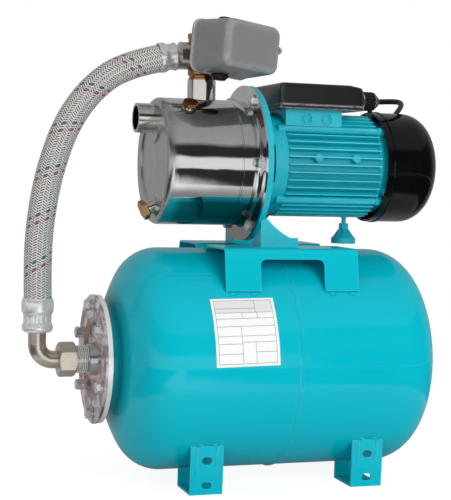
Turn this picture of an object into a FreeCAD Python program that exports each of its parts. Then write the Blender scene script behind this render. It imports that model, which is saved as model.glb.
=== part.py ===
"""Water booster set: a self-priming jet pump and its motor on a horizontal pressure tank.

Millimetres.  X runs along the tank and the shaft, towards the fan; -Y is the front; Z is up.
The origin is on the floor, midway between the four feet.
"""
import FreeCAD, Part
import math
import os
import re

import Sketcher
from FreeCAD import Rotation, Vector

SIZES = {
    # tank shell: cylinder, dished heads and the welded seam between the two halves
    "tank_radius": 140, "floor_gap": 14, "tank_half": 144, "tank_wall": 2,
    "knuckle": 50, "crown": 240, "seam_rise": 0.8, "seam_half": 3,
    "tank_axis": "tank_radius + floor_gap",
    "crown_centre": "tank_half - sqrt((crown - knuckle)^2 - (tank_radius - knuckle)^2)",
    # tank neck, its welded ring, the bolted cover and the bladder lip between them
    "neck_radius": 66, "neck_wall": 3, "neck_fillet": 8, "neck_rise": 10.6,
    "ring_depth": 6, "ring_radius": 80, "ring_bore": 54,
    "ring_front": "crown_centre + sqrt(crown^2 - neck_radius^2) + neck_rise + ring_depth",
    "cover_radius": "ring_radius + 0.7", "cover_depth": 3, "dish_radius": 52, "dish_floor": 42,
    "dish_drop": 4, "boss_radius": 19, "boss_rise": 8, "boss_end": "ring_front + boss_rise",
    "lip_radius": "ring_bore + 8", "lip_depth": 1.5,
    "cover_ring": 67, "cover_turn": 7, "washer_radius": 8, "washer_stack": 3.4, "cover_bolts": 6, "bolt_radius": 4, "bolt_across": 13, "bolt_head": 5.3,
    "bladder_radius": 100, "bladder_wall": 2, "bladder_neck": 26, "bladder_taper": 38,
    "bladder_neck_end": "ring_front - bladder_neck", "bladder_bottom": 60,
    "bladder_shoulder": "bladder_neck_end - bladder_taper",
    # air valve at the other end of the tank
    "valve_hole": 8, "valve_flange": 14, "valve_stem": 5, "valve_length": 24, "valve_cap": 8,
    # pipe thread, union nut and elbow on the tank cover
    "pipe_thread": 16.6, "pipe_bore": 12.5, "nipple_length": 38, "nut_lap": 13, "nut_length": 21,
    "nipple_end": "ring_front + nipple_length", "nut_start": "nipple_end - nut_lap",
    "nut_across": 38, "nut_lip": 4, "elbow_radius": 11, "elbow_bore": 9, "elbow_bend": 20,
    "elbow_straight": 14, "elbow_drop": "nipple_end + elbow_straight + elbow_bend",
    "collar_depth": 2.5,
    # hose, its two crimped ferrules and the swivel nut
    "hose_radius": 17, "hose_bore": 12.5, "ferrule_radius": 19, "ferrule_flare": 18.3,
    "ferrule_waist": 16.3, "ferrule_mouth": "hose_radius + 0.6", "mouth_depth": 7,
    "ferrule_rise": 34, "ferrule_start": "tank_axis + ferrule_rise",
    "lower_ferrule_length": 43, "upper_ferrule_length": 24, "ferrule_neck": 9,
    "ferrule_tilt": 8, "swivel_radius": 17.3, "swivel_start": 1.5, "swivel_length": 11,
    # feet: bent strips in the four corners
    "foot_spacing": 211, "foot_width": 41.4, "foot_front": "tank_radius - 36", "foot_back": "foot_front - 52", "foot_sheet": 3,
    "foot_lap": 5.7, "foot_top": "tank_axis - sqrt(tank_radius^2 - foot_front^2) + foot_lap",
    "foot_crease": 23, "foot_tuck": 1.6,
    "back_height": "tank_axis - sqrt(tank_radius^2 - (foot_back - foot_sheet)^2)",
    "slot_length": 13, "slot_width": 9, "slot_height": 12, "slot_pitch": 29.7,
    "upper_slot": "slot_height + slot_pitch", "rib_width": 3, "rib_inset": 8, "rib_rise": 0.8,
    # rating label place
    "label_left": -118, "label_length": 80, "label_up": 7, "label_height": 78,
    "label_low": "tank_axis + label_up", "label_high": "label_low + label_height",
    "label_sheet": 0.4,
    # saddle that carries the pump
    "saddle_left": -87.6, "saddle_right": 86.2, "saddle_half": 99.6, "saddle_rise": 5.2,
    "saddle_top": "tank_axis + tank_radius + saddle_rise",
    "saddle_sheet": 2.5, "saddle_bend": 8, "skirt_lean": 7.4,
    "skirt_half": "saddle_half + skirt_lean", "bead_half": 26, "bead_depth": 4.6,
    "window_left": -42.6, "window_right": 41.3, "window_beam": 13.4,
    "window_top": "saddle_top - window_beam", "window_corner": 8, "pad_rise": 2.5,
    # pump axis and the drawn casing
    "shaft_rise": "casing_flange + 2.1", "shaft_z": "saddle_top + pad_rise + shaft_rise",
    "joint_x": -35.1, "casing_radius": 79.5, "casing_wall": 2.5, "casing_length": 119.9,
    "casing_end": "joint_x - casing_length", "casing_flange": "casing_radius + 19.7", "flare_bend": 4,
    "shoulder": 8, "groove_back": 24.9, "groove_at": "joint_x - groove_back",
    "groove_depth": 1, "groove_half": 1.5, "panel_radius": "casing_radius - 24.5", "inlet_pad": 13, "panel_drop": 2,
    "flange_ring": "casing_radius + 10.5", "flange_bolts": 6,
    "inlet_rise": "casing_radius - 26.5", "inlet_reach": 22, "inlet_end": "casing_end - inlet_reach",
    "inlet_radius": 18.5, "inlet_bore": 15.15, "outlet_back": 56.9,
    "outlet_x": "joint_x - outlet_back", "outlet_rise": 23.5,
    "outlet_top": "shaft_z + casing_radius + outlet_rise", "outlet_radius": 18, "socket_reach": 3,
    "fill_back": 84.9, "fill_x": "joint_x - fill_back", "fill_angle": 33, "fill_boss": 9.2,
    "fill_boss_rise": 1.6, "fill_across": 17, "fill_head": 6, "fill_thread": 7, "plug_head": 8,
    "drain_in": 5, "drain_x": "casing_end + drain_in", "drain_y": -12, "drain_down": "casing_radius - 25.5",
    "drain_z": "shaft_z - drain_down", "drain_angle": 24, "drain_radius": 9,
    "drain_length": 14, "drain_thread": 6.5, "drain_across": 22,
    # inside the casing
    "seal_plate_radius": "casing_radius + 4.3", "seal_plate_sheet": 2, "seal_cup": 16, "seal_cup_depth": 12,
    "seal_bore": 10, "seat_radius": "seal_cup - seal_plate_sheet - 0.3", "seat_depth": 6,
    "seal_radius": 12, "seal_back": 8, "oring_radius": "casing_radius - 3.9", "oring_section": 2.2,
    "impeller_radius": "diffuser_radius - 10.5", "impeller_back": 10, "shroud": 2, "vane_height": 8, "vane_sheet": 2,
    "impeller_eye": 24, "impeller_hub": 12, "vanes": 6,
    "diffuser_radius": "casing_radius - 7", "diffuser_wall": 7, "diffuser_front": 26, "diffuser_sheet": 3,
    "diffuser_eye": 18, "ejector_radius": 16, "ejector_waist": 11, "ejector_bore": 6,
    "ejector_end": 108,
    # cast adapter between pump and motor, with the two legs
    "adapter_radius": "casing_flange - 0.2", "adapter_flange": 7.6, "adapter_depth": 40.1,
    "motor_start": "joint_x + adapter_depth", "lantern_radius": 64, "lantern_wall": 8,
    "bearing_wall": 14, "lantern_window_down": 23, "lantern_window_height": 47,
    "lantern_window_low": "shaft_z - lantern_window_down", "lantern_window_length": 11,
    "lantern_window_in": 12.1, "lantern_window_left": "joint_x + lantern_window_in",
    "leg_face": 70, "leg_sheet": 7, "leg_in": 3.1, "leg_left": "joint_x + leg_in",
    "leg_length": 49.6, "leg_right": "leg_left + leg_length", "leg_drop": 52,
    "leg_top": "shaft_z - leg_drop", "leg_toe": 9, "leg_notch": 13,
    "leg_crown": "leg_top - leg_notch", "leg_bend": 96, "leg_ledge": 20, "leg_flange": 5,
    "leg_bolt_in": 24, "leg_bolt_x": "leg_left + leg_bolt_in", "leg_bolt_y": 55,
    # motor housing, its ends and the long screws that hold them together
    "housing_length": 127, "housing_end": "motor_start + housing_length",
    "housing_radius": 58, "housing_bore": 52, "fin_radius": 67, "fins": 42, "tie_rib": 5, "fin_sheet": 2,
    "stud_boss": 5, "stud_boss_rise": 8.5, "stud_boss_in": 40, "stud_boss_pitch": 52,
    "stud_boss_left": "motor_start + stud_boss_in",
    "stud_boss_right": "stud_boss_left + stud_boss_pitch", "stud_boss_tilt": 8,
    "shield_radius": 60, "shield_depth": 14, "shield_plate": 8, "shield_spigot": 4,
    "shield_hub": 24, "lug_width": 10, "tie_ring": 62, "tie_radius": 2.5, "tie_head": 4,
    # stator, rotor and shaft
    "stator_bore": 30, "stator_in": 20, "stator_left": "motor_start + stator_in",
    "stator_length": 70, "winding_bore": 33, "winding_radius": 47, "winding_overhang": 13,
    "rotor_gap": 0.4, "shaft_nose": 30.9, "shaft_left": "joint_x - shaft_nose",
    "impeller_seat": 7, "seal_seat": 8, "front_journal": 8.5, "rotor_seat": 10,
    "rear_journal": 7.5, "fan_seat": 6, "running_gap": 0.05, "end_gap": 0.3,
    "front_bearing_radius": 20, "front_bearing_width": 12, "rear_bearing_radius": 17.5,
    "rear_bearing_width": 11,
    # cooling fan and its cover
    "fan_gap": 18, "fan_left": "housing_end + fan_gap", "fan_hub": 12, "fan_radius": 60,
    "fan_width": 22, "fan_sheet": 2.5, "fan_blades": 8, "shaft_tail": 8,
    "shaft_right": "fan_left + fan_width + shaft_tail",
    "fan_cover_gap": 6, "fan_cover_left": "housing_end + fan_cover_gap",
    "fan_cover_length": 80, "fan_cover_end": "fan_cover_left + fan_cover_length",
    "fan_cover_radius": 72, "fan_cover_wall": 2.5, "fan_cover_round": 34,
    "bead_at": 8, "bead_rise": 1.2,
    "vent_inner": 12, "vent_outer": 36, "vent_width": 3, "vents": 16,
    "cover_screw_in": 4, "cover_screw_at": "fan_cover_left + cover_screw_in",
    "cover_screw_radius": 2, "cover_screw_head": 3.2,
    # terminal box
    "box_base_in": 1, "box_base_left": "motor_start + box_base_in", "box_base_length": 76,
    "box_base_half": 46, "box_base_depth": 33, "box_base_rise": 3,
    "box_base_top": "shaft_z + fin_radius + box_base_rise",
    "box_base_low": "box_base_top - box_base_depth", "box_base_wall": 4, "box_floor": 2.5,
    "knockout_radius": 8, "knockout_depth": 1, "knockout_in": 28.3, "knockout_pitch": 26.6,
    "knockout_left": "box_base_left + knockout_in",
    "knockout_right": "knockout_left + knockout_pitch", "knockout_down": 12,
    "knockout_z": "box_base_top - knockout_down",
    "box_overhang": 12, "box_left": "box_base_left - box_overhang", "box_length": 113,
    "box_right": "box_left + box_length", "box_front": -58, "box_back": 50, "tray_rise": 5,
    "box_wall": 2.5, "box_side": 29, "box_height": 32,
    "box_shoulder": "box_base_top + box_side", "box_top": "box_base_top + box_height",
    "box_slope_right": "box_right - 18",
    "box_round": 5, "block_length": 44, "block_width": 22, "block_height": 15,
    "block_inset": 14, "block_left": "box_left + block_inset + 2",
    "block_front": "box_front + block_inset",
    "capacitor_radius": 10.5, "capacitor_length": 62,
    "gland_y": -35, "gland_rise": 14, "gland_z": "box_base_top + gland_rise",
    "gland_radius": 11.5, "gland_hex": 6, "gland_nut": 17,
    "gland_tip": 6, "gland_tip_radius": 6, "gland_thread": 8, "cable_radius": 3.5,
    # foot under the fan end of the motor
    "rear_foot_back": 23, "rear_foot_x": "housing_end - rear_foot_back", "rear_foot_up": 2.3,
    "rear_foot_z": "saddle_top + rear_foot_up", "rear_foot_radius": 16, "rear_foot_disc": 7,
    "rear_foot_stem": 6.3, "rear_foot_height": 26.5,
    "rear_foot_top": "rear_foot_z + rear_foot_height", "rear_foot_stud": 3,
    # brass fitting with five ways
    "fitting_radius": 18, "fitting_neck": 16, "neck_up": 7, "fitting_height": 58,
    "fitting_neck_top": "outlet_top + neck_up", "fitting_top": "outlet_top + fitting_height",
    "thread_reach": 10, "fitting_bore": 12, "top_thread_depth": 16, "hose_port_up": 30,
    "hose_port_z": "outlet_top + hose_port_up", "hose_port": 13.2, "hose_port_reach": 5,
    "switch_port_up": 40, "switch_port_z": "outlet_top + switch_port_up", "switch_port": 9,
    "switch_port_end": 24, "gauge_port_up": 18, "gauge_port_z": "outlet_top + gauge_port_up",
    "gauge_plug_across": 14,
    # pressure switch, in its own frame: distance from the fitting's axis, across and up
    "switch_yaw": 20, "switch_roll": 5, "plate_out": 5.5,
    "switch_plate_at": "switch_port_end + plate_out", "switch_plate": 2,
    "switch_rim": "switch_plate_at + switch_plate + end_gap", "switch_depth": 68,
    "switch_across": 4, "switch_half_width": 45, "switch_half_height": 35,
    "switch_draft": 2.5, "switch_wall": 2, "switch_corner": 10, "switch_round": 3,
    "diaphragm_radius": 29, "switch_hex_across": 22, "grommet_in": 9.7,
    "grommet_at": "switch_rim + grommet_in", "grommet_radius": 8, "grommet_flange": 11,
    "grommet_rise": 7, "pivot_across": -26, "pivot_up": 8.5,
    "pivot_height": "switch_plate_at + pivot_up", "pivot_radius": 2,
    "lever_tip": 25, "lever_half": 9, "lever_sheet": 2, "lever_barrel": 4, "ear_sheet": 2,
    "spring_radius": 7, "spring_wire": 0.6, "spring_length": 22, "spring_pitch": 4.4,
    "spring_stud": 2.9, "stud_hole": 5, "contact_across": 28, "contact_width": 8,
    "contact_height": 20, "contact_half": 20, "cap_screw_back": 8,
    "cap_screw_at": "switch_rim + switch_depth - cap_screw_back", "cap_screw_radius": 4.5,
    # mains plug and the put-away coil
    "coil_x": -20, "coil_clear": 28, "coil_y": "tank_radius + coil_clear", "coil_middle": 38.5,
    "coil_half_width": 7.2, "coil_height": 14.5,
    "plug_radius": 17, "plug_body": 34, "plug_relief": 26, "plug_gap": 4.6, "pin_radius": 2.4,
    "pin_length": 19, "pin_spacing": 19,
}

# Centre lines of the hose and of the mains lead, chosen by hand.
HOSE_ROUTE = [(-147.7, 0, 531.1), (-192, 0, 520.5), (-232, 0, 492), (-264, 0, 447), (-284, 0, 388),
              (-294, 0, 332), (-297.5, 0, 280), (-296, 0, 228)]
LEAD_ROUTE = [(136, -35, 487), (160, -31, 489), (180, -12, 489), (194, 14, 485), (200, 44, 476),
              (195, 74, 456), (172, 97, 429), (135, 108, 403), (94, 112, 378), (53, 117, 350),
              (31, 131, 308), (29, 151, 258), (32, 163, 200), (37, 162, 142), (42, 154, 88),
              (38, 143, 42), (24, 133, 12), (3, 130, 4)]

AXES = {"x": Vector(1, 0, 0), "-x": Vector(-1, 0, 0), "y": Vector(0, 1, 0), "-y": Vector(0, -1, 0),
        "z": Vector(0, 0, 1), "-z": Vector(0, 0, -1)}
HERE = ("0", "0", "0")

doc = FreeCAD.newDocument("BoosterSet")
sheet = doc.addObject("Spreadsheet::Sheet", "Sizes")
scratch = doc.addObject("Spreadsheet::Sheet", "Scratch")
nodes = []


def fill_sheet():
    """Write every size into the sheet, one named cell a row; a text follows from the others."""
    for row, name in enumerate(SIZES, 1):
        sheet.set("A%d" % row, name)
        sheet.setAlias("B%d" % row, name)
    for row, value in enumerate(SIZES.values(), 1):
        sheet.set("B%d" % row, "=" + value if isinstance(value, str) else str(value))
    doc.recompute()


def size(text):
    """The number that an expression on the sheet's names stands for."""
    scratch.set("A1", "=" + cells(text))
    scratch.recompute()
    return float(scratch.get("A1"))


def cells(text):
    """The same expression with every size name pointed at its cell."""
    return re.sub(r"[a-z]\w*", lambda word: "Sizes." + word.group() if word.group() in SIZES
                  else word.group(), str(text))


def bind(thing, **sizes):
    for name, text in sizes.items():
        thing.setExpression(name, cells(text))
    return thing


def place(thing, at, own, axis):
    """Turn a piece from its own axis to the wanted one and bind where it stands."""
    target = AXES[axis] if isinstance(axis, str) else axis
    thing.Placement = FreeCAD.Placement(Vector(), Rotation(own, target))
    for letter, text in zip("xyz", at):
        thing.setExpression("Placement.Base." + letter, cells(text))
    return thing


def node(label, thing):
    """Name a finished sub-part; the label is its file's name."""
    thing.Label = label
    nodes.append(thing)
    return thing


# ---- primitives and booleans -------------------------------------------------------------

def cylinder(radius, length, at=HERE, axis="z"):
    made = bind(doc.addObject("Part::Cylinder", "Cylinder"), Radius=radius, Height=length)
    return place(made, at, AXES["z"], axis)


def cone(radius, top, length, at=HERE, axis="z"):
    made = bind(doc.addObject("Part::Cone", "Cone"), Radius1=radius, Radius2=top, Height=length)
    return place(made, at, AXES["z"], axis)


def prism(across, length, at=HERE, axis="z"):
    made = doc.addObject("Part::Prism", "Hexagon")
    made.Polygon = 6
    bind(made, Circumradius="(%s) / sqrt(3)" % across, Height=length)
    return place(made, at, AXES["z"], axis)


def torus(ring, section, at=HERE, axis="z"):
    made = bind(doc.addObject("Part::Torus", "Ring"), Radius1=ring, Radius2=section)
    return place(made, at, AXES["z"], axis)


def box(length, width, height, at=HERE):
    made = bind(doc.addObject("Part::Box", "Box"), Length=length, Width=width, Height=height)
    return place(made, at, AXES["z"], "z")


def fuse(*pieces):
    made = doc.addObject("Part::MultiFuse", "Joined")
    made.Shapes = list(pieces)
    return made


def cut(base, *tools):
    made = doc.addObject("Part::Cut", "Trimmed")
    made.Base = base
    made.Tool = tools[0] if len(tools) == 1 else fuse(*tools)
    return made


def common(first, second):
    made = doc.addObject("Part::Common", "Shared")
    made.Base, made.Tool = first, second
    return made


def group(*pieces):
    made = doc.addObject("Part::Compound", "Set")
    made.Links = list(pieces)
    return made


def around(count_name, circle, centre_y, centre_z, start=0):
    """Places on a circle round the X direction, as pairs of expressions for Y and Z."""
    count = int(size(count_name))
    for index in range(count):
        angle = start + 360.0 * index / count
        yield ("%s + (%s) * sin(%.6f)" % (centre_y, circle, angle),
               "%s + (%s) * cos(%.6f)" % (centre_z, circle, angle))


def hex_bolt(at, axis, across, head, radius, length):
    """A head that stands on its seat and a shank that runs back from it."""
    back = -(AXES[axis] if isinstance(axis, str) else axis)
    return fuse(prism(across, head, at, axis), cylinder(radius, length, at, back))


# ---- sketched bodies ---------------------------------------------------------------------

def draw_loop(sketch, steps):
    """Draw a closed outline.

    A step is (x, y) or (x, y, bend): its corner and, for a round stretch that ends there, the
    arc's radius, positive where the arc turns left on its way and negative where it turns right.
    """
    first = sketch.GeometryCount
    corners = [Vector(size(step[0]), size(step[1]), 0) for step in steps]
    starts, ends = [], []
    for index, here in enumerate(corners):
        there = corners[(index + 1) % len(corners)]
        step = steps[(index + 1) % len(steps)]
        if len(step) == 2:
            sketch.addGeometry(Part.LineSegment(here, there))
            starts.append(1)
            ends.append(2)
            continue
        bend = size(step[2])
        chord = there - here
        rise = math.sqrt(max(bend * bend - chord.Length ** 2 / 4, 0)) * math.copysign(1, bend)
        normal = Vector(-chord.y, chord.x, 0).normalize()
        centre = (here + there) * 0.5 + normal * rise
        begin, finish = (here, there) if bend > 0 else (there, here)
        first_angle = math.atan2(begin.y - centre.y, begin.x - centre.x)
        last_angle = math.atan2(finish.y - centre.y, finish.x - centre.x)
        if last_angle < first_angle:
            last_angle += 2 * math.pi
        circle = Part.Circle(centre, Vector(0, 0, 1), abs(bend))
        index_made = sketch.addGeometry(Part.ArcOfCircle(circle, first_angle, last_angle))
        starts.append(1 if bend > 0 else 2)
        ends.append(2 if bend > 0 else 1)
        radius = sketch.addConstraint(Sketcher.Constraint("Radius", index_made, abs(bend)))
        sketch.setExpression("Constraints[%d]" % radius, cells("abs(%s)" % step[2]))
    total = len(corners)
    for index in range(total):
        after = (index + 1) % total
        sketch.addConstraint(Sketcher.Constraint(
            "Coincident", first + index, ends[index], first + after, starts[after]))
    for index, step in enumerate(steps):
        for kind, text, number, line in (("DistanceX", step[0], corners[index].x, -2),
                                         ("DistanceY", step[1], corners[index].y, -1)):
            corner = (first + index, starts[index])
            if text == "0":
                sketch.addConstraint(Sketcher.Constraint("PointOnObject", *corner, line))
            else:
                made = sketch.addConstraint(Sketcher.Constraint(kind, -1, 1, *corner, number))
                sketch.setExpression("Constraints[%d]" % made, cells(text))


def draw_circle(sketch, x, y, radius):
    made = sketch.addGeometry(Part.Circle(Vector(size(x), size(y), 0), Vector(0, 0, 1), size(radius)))
    for kind, text in (("DistanceX", x), ("DistanceY", y)):
        if text == "0":
            line = -2 if kind == "DistanceX" else -1
            sketch.addConstraint(Sketcher.Constraint("PointOnObject", made, 3, line))
        else:
            index = sketch.addConstraint(Sketcher.Constraint(kind, -1, 1, made, 3, size(text)))
            sketch.setExpression("Constraints[%d]" % index, cells(text))
    index = sketch.addConstraint(Sketcher.Constraint("Radius", made, size(radius)))
    sketch.setExpression("Constraints[%d]" % index, cells(radius))


def new_sketch(body, plane):
    sketch = body.newObject("Sketcher::SketchObject", "Outline")
    support = [item for item in body.Origin.OriginFeatures if item.Role == plane + "_Plane"][0]
    sketch.AttachmentSupport = [(support, "")]
    sketch.MapMode = "FlatFace"
    return sketch


def turned(steps, at=HERE, axis="x"):
    """A body of revolution; its steps are (distance along the axis, radius)."""
    body = doc.addObject("PartDesign::Body", "Turned")
    sketch = new_sketch(body, "XZ")
    draw_loop(sketch, steps)
    round_it = body.newObject("PartDesign::Revolution", "Round")
    round_it.Profile = sketch
    round_it.ReferenceAxis = (sketch, ["H_Axis"])
    round_it.Angle = 360
    place(body, at, AXES["x"], axis)
    return body


def padded(plane, loops, length, at=HERE, circles=(), taper=None, middle=False):
    """A body pushed out from an outline; inner loops and circles are holes."""
    body = doc.addObject("PartDesign::Body", "Padded")
    sketch = new_sketch(body, plane)
    for steps in loops:
        draw_loop(sketch, steps)
    for circle in circles:
        draw_circle(sketch, *circle)
    pad = body.newObject("PartDesign::Pad", "Pad")
    pad.Profile = sketch
    pad.Midplane = middle
    bind(pad, Length=length)
    if taper:
        bind(pad, TaperAngle=taper)
    place(body, at, AXES["x"], "x")
    return body


def rounded_rectangle(half_x, half_y, corner):
    """Corners and quarter rounds of a rectangle about the sketch's origin."""
    steps = []
    for sign_x, sign_y in ((1, -1), (1, 1), (-1, 1), (-1, -1)):
        side = ("%d * (%s)" % (sign_x, half_x), "%d * (%s - (%s))" % (sign_y, half_y, corner))
        end = ("%d * (%s - (%s))" % (sign_x, half_x, corner), "%d * (%s)" % (sign_y, half_y))
        pair = [side, end] if sign_x == sign_y else [end, side]
        steps += [pair[0], pair[1] + (corner,)]
    return steps


def ring_steps(start, end, inner, outer):
    return [(start, inner), (start, outer), (end, outer), (end, inner)]


def last_feature(body):
    return body.Tip


def fillet(body, radius, wanted):
    """Round the edges of a body's tip that the test picks."""
    doc.recompute()
    base = last_feature(body)
    names = ["Edge%d" % (index + 1) for index, edge in enumerate(base.Shape.Edges) if wanted(edge)]
    made = body.newObject("PartDesign::Fillet", "Rounded")
    made.Base = (base, names)
    bind(made, Radius=radius)
    return body


def polar(body, features, axis_role, count_name):
    """Repeat features of a body in a full circle round one of its origin's axes."""
    axis = [item for item in body.Origin.OriginFeatures if item.Role == axis_role + "_Axis"][0]
    pattern = body.newObject("PartDesign::PolarPattern", "Circle")
    pattern.Originals = features
    pattern.Axis = (axis, [""])
    pattern.Angle = 360
    bind(pattern, Occurrences=count_name)
    body.Tip = pattern
    return body


# ---- tank --------------------------------------------------------------------------------

LEAN = "((tank_radius - knuckle) / (crown - knuckle))"      # sine of the angle where two arcs meet
FLAT = "sqrt(1 - %s^2)" % LEAN                              # and its cosine
TANK_AT = ("0", "0", "tank_axis")


def on_crown(radius, inset="0"):
    """Distance from the tank's middle to the crown at a radius from its axis."""
    return "(crown_centre + sqrt((crown - %s)^2 - (%s)^2))" % (inset, radius)


def half_shell(opening, ending):
    """Outline of half the tank: seam, cylinder, knuckle, crown, then the given end."""
    inner = "(knuckle - tank_wall)"
    return [("0", "tank_radius - tank_wall"), ("0", "tank_radius + seam_rise"),
            ("seam_half", "tank_radius + seam_rise"), ("seam_half + seam_rise", "tank_radius"),
            ("tank_half", "tank_radius"),
            ("tank_half + knuckle * %s" % FLAT, "tank_radius - knuckle + knuckle * %s" % LEAN, "-knuckle"),
            (on_crown(opening), opening, "-crown")] + ending + [
            ("tank_half + %s * %s" % (inner, FLAT),
             "tank_radius - knuckle + %s * %s" % (inner, LEAN), "crown - tank_wall"),
            ("tank_half", "tank_radius - tank_wall", "knuckle - tank_wall")]


def tank_shells():
    neck_end = "ring_front - ring_depth"
    neck_inside = "neck_radius - neck_wall"
    left = turned(half_shell("neck_radius", [
        (neck_end, "neck_radius"), (neck_end, neck_inside),
        (on_crown(neck_inside, "tank_wall"), neck_inside)]), TANK_AT, "-x")

    def neck_root(edge):
        on_neck = abs(edge.BoundBox.ZLength / 2 - size("neck_radius")) < 0.01
        return on_neck and edge.BoundBox.XLength < 0.01 and edge.BoundBox.XMin < size(neck_end) - 0.1

    fillet(left, "neck_fillet", neck_root)
    node("tank_left_half", left)
    right = turned(half_shell("valve_hole", [(on_crown("valve_hole", "tank_wall"), "valve_hole")]),
                   TANK_AT, "x")
    node("tank_right_half", right)


def tank_opening():
    """The welded neck ring, the bladder whose lip it holds, the bolted cover and its bolts."""
    front = "ring_front"
    lip_seat = "ring_front - lip_depth - 0.1"
    ring = turned([("ring_front - ring_depth", "ring_bore"), ("ring_front - ring_depth", "ring_radius"),
                   (front, "ring_radius"), (front, "lip_radius + 0.4"), (lip_seat, "lip_radius + 0.4"),
                   (lip_seat, "ring_bore")], TANK_AT, "-x")
    cover = turned([
        ("ring_front - dish_drop", "pipe_bore"), ("ring_front - dish_drop", "dish_floor - cover_depth"),
        (front, "dish_radius - cover_depth"), (front, "cover_radius"),
        ("ring_front + cover_depth", "cover_radius"), ("ring_front + cover_depth", "dish_radius"),
        ("ring_front + cover_depth - dish_drop", "dish_floor"),
        ("ring_front + cover_depth - dish_drop", "boss_radius + 2"), ("boss_end", "boss_radius"),
        ("boss_end", "pipe_thread"), ("nipple_end", "pipe_thread"), ("nipple_end", "pipe_bore")],
        TANK_AT, "-x")
    seats = list(around("cover_bolts", "cover_ring", "0", "tank_axis", size("cover_turn")))
    reach = "ring_depth + cover_depth"
    holes = [cylinder("bolt_radius + running_gap", reach + " + 2",
                      ("-ring_front - cover_depth - 1", y, z), "x") for y, z in seats]
    ring = cut(ring, *holes)
    cover = cut(cover, *[cylinder("bolt_radius + end_gap", "cover_depth + 2",
                                  ("-ring_front - cover_depth - 1", y, z), "x") for y, z in seats])
    node("tank_neck_ring", ring)
    node("tank_cover", cover)
    bolts = [fuse(cylinder("washer_radius", "washer_stack", ("-ring_front - cover_depth", y, z), "-x"),
                  hex_bolt(("-ring_front - cover_depth - washer_stack", y, z), "-x", "bolt_across", "bolt_head",
                           "bolt_radius", reach + " + washer_stack - end_gap")) for y, z in seats]
    node("tank_cover_bolts", group(*bolts))
    outside = "bladder_radius"
    inside = "(bladder_radius - bladder_wall)"
    throat = "(ring_bore - end_gap)"
    bladder = turned([
        ("ring_front - 0.1", throat + " - bladder_wall"), ("ring_front - 0.1", "lip_radius"),
        (lip_seat, "lip_radius"), (lip_seat, throat), ("bladder_neck_end", throat),
        ("bladder_shoulder", outside), ("-bladder_bottom", outside),
        ("-bladder_bottom - " + outside, "0", outside),
        ("-bladder_bottom - " + inside, "0"), ("-bladder_bottom", inside, "-" + inside),
        ("bladder_shoulder - bladder_wall", inside),
        ("bladder_neck_end - bladder_wall", throat + " - bladder_wall")], TANK_AT, "-x")
    node("tank_bladder", bladder)


def air_valve():
    seat = on_crown("valve_hole")
    valve = turned([
        ("0", "0"), ("0", "valve_hole - running_gap"), ("tank_wall + 2", "valve_hole - running_gap"),
        ("tank_wall + 2", "valve_flange"), ("tank_wall + 5", "valve_flange"),
        ("tank_wall + 7", "valve_stem"), ("valve_length", "valve_stem"), ("valve_length", "0")],
        (seat + " - tank_wall - 2", "0", "tank_axis"), "x")
    cap = turned([
        ("0", "valve_stem + end_gap"), ("0", "valve_cap"), ("14", "valve_cap - 0.5"),
        ("17", "valve_cap - 3"), ("17", "0"), ("15", "0"), ("15", "valve_stem + end_gap")],
        (seat + " + 6", "0", "tank_axis"), "x")
    node("air_valve", group(valve, cap))


def corner_foot(label, side, depth):
    """A strip bent into a trough: slotted face outside, sole, and a low back against the tank."""
    face = [("foot_front", "foot_top - foot_sheet"), ("foot_front", "foot_crease"),
            ("foot_front - foot_tuck", "0"), ("foot_back - foot_sheet", "0"),
            ("foot_back - foot_sheet", "back_height"), ("foot_back", "back_height"),
            ("foot_back", "foot_sheet"), ("foot_front - foot_sheet - foot_tuck", "foot_sheet"),
            ("foot_front - foot_sheet", "foot_crease"),
            ("foot_front - foot_sheet", "foot_top - foot_sheet")]
    sign = {"front": -1, "rear": 1}[depth]
    steps = [("%d * (%s)" % (sign, y), z) if z != "0" else ("%d * (%s)" % (sign, y), "0")
             for y, z in face]
    centre = "%d * foot_spacing / 2" % side
    strip = padded("YZ", [steps], "foot_width", (centre + " - foot_width / 2", "0", "0"))
    slots = []
    for height in ("slot_height", "upper_slot"):
        flat = "slot_length - slot_width"
        deep = "foot_front - 8" if sign > 0 else "-foot_front - 4"
        parts = [box(flat, "12", "slot_width", (centre + " - (%s) / 2" % flat, deep,
                                                height + " - slot_width / 2"))]
        for end in (-1, 1):
            parts.append(cylinder("slot_width / 2", "12",
                                  (centre + " + %d * (%s) / 2" % (end, flat), deep, height), "y"))
        slots += parts
    ribs = []
    for end in (-1, 1):
        rib_at = centre + " + %d * (foot_width / 2 - rib_inset)" % end
        deep = "foot_front" if sign > 0 else "-foot_front - rib_rise"
        ribs.append(box("rib_width", "rib_rise", "foot_top - foot_sheet - foot_crease - 6",
                        (rib_at + " - rib_width / 2", deep, "foot_crease + 3")))
    lip = box("foot_width", "foot_sheet + 4", "foot_sheet",
              (centre + " - foot_width / 2",
               "foot_front - foot_sheet - 4" if sign > 0 else "-foot_front", "foot_top - foot_sheet"))
    shell = cylinder("tank_radius + end_gap", "foot_width + 2",
                     (centre + " - foot_width / 2 - 1", "0", "tank_axis"), "x")
    node(label, cut(fuse(strip, lip, *ribs), shell, *slots))


def tank_label():
    """A bare plate bent to the tank: the place of the rating label."""
    sheet_out = "tank_radius + end_gap + label_sheet"
    skin = turned(ring_steps("0", "label_length", "tank_radius + end_gap", sheet_out),
                  ("label_left", "0", "tank_axis"), "x")
    window = box("label_length + 2", "tank_radius", "label_high - label_low",
                 ("label_left - 1", "-tank_radius - 5", "label_low"))
    node("tank_label", common(skin, window))


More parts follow.
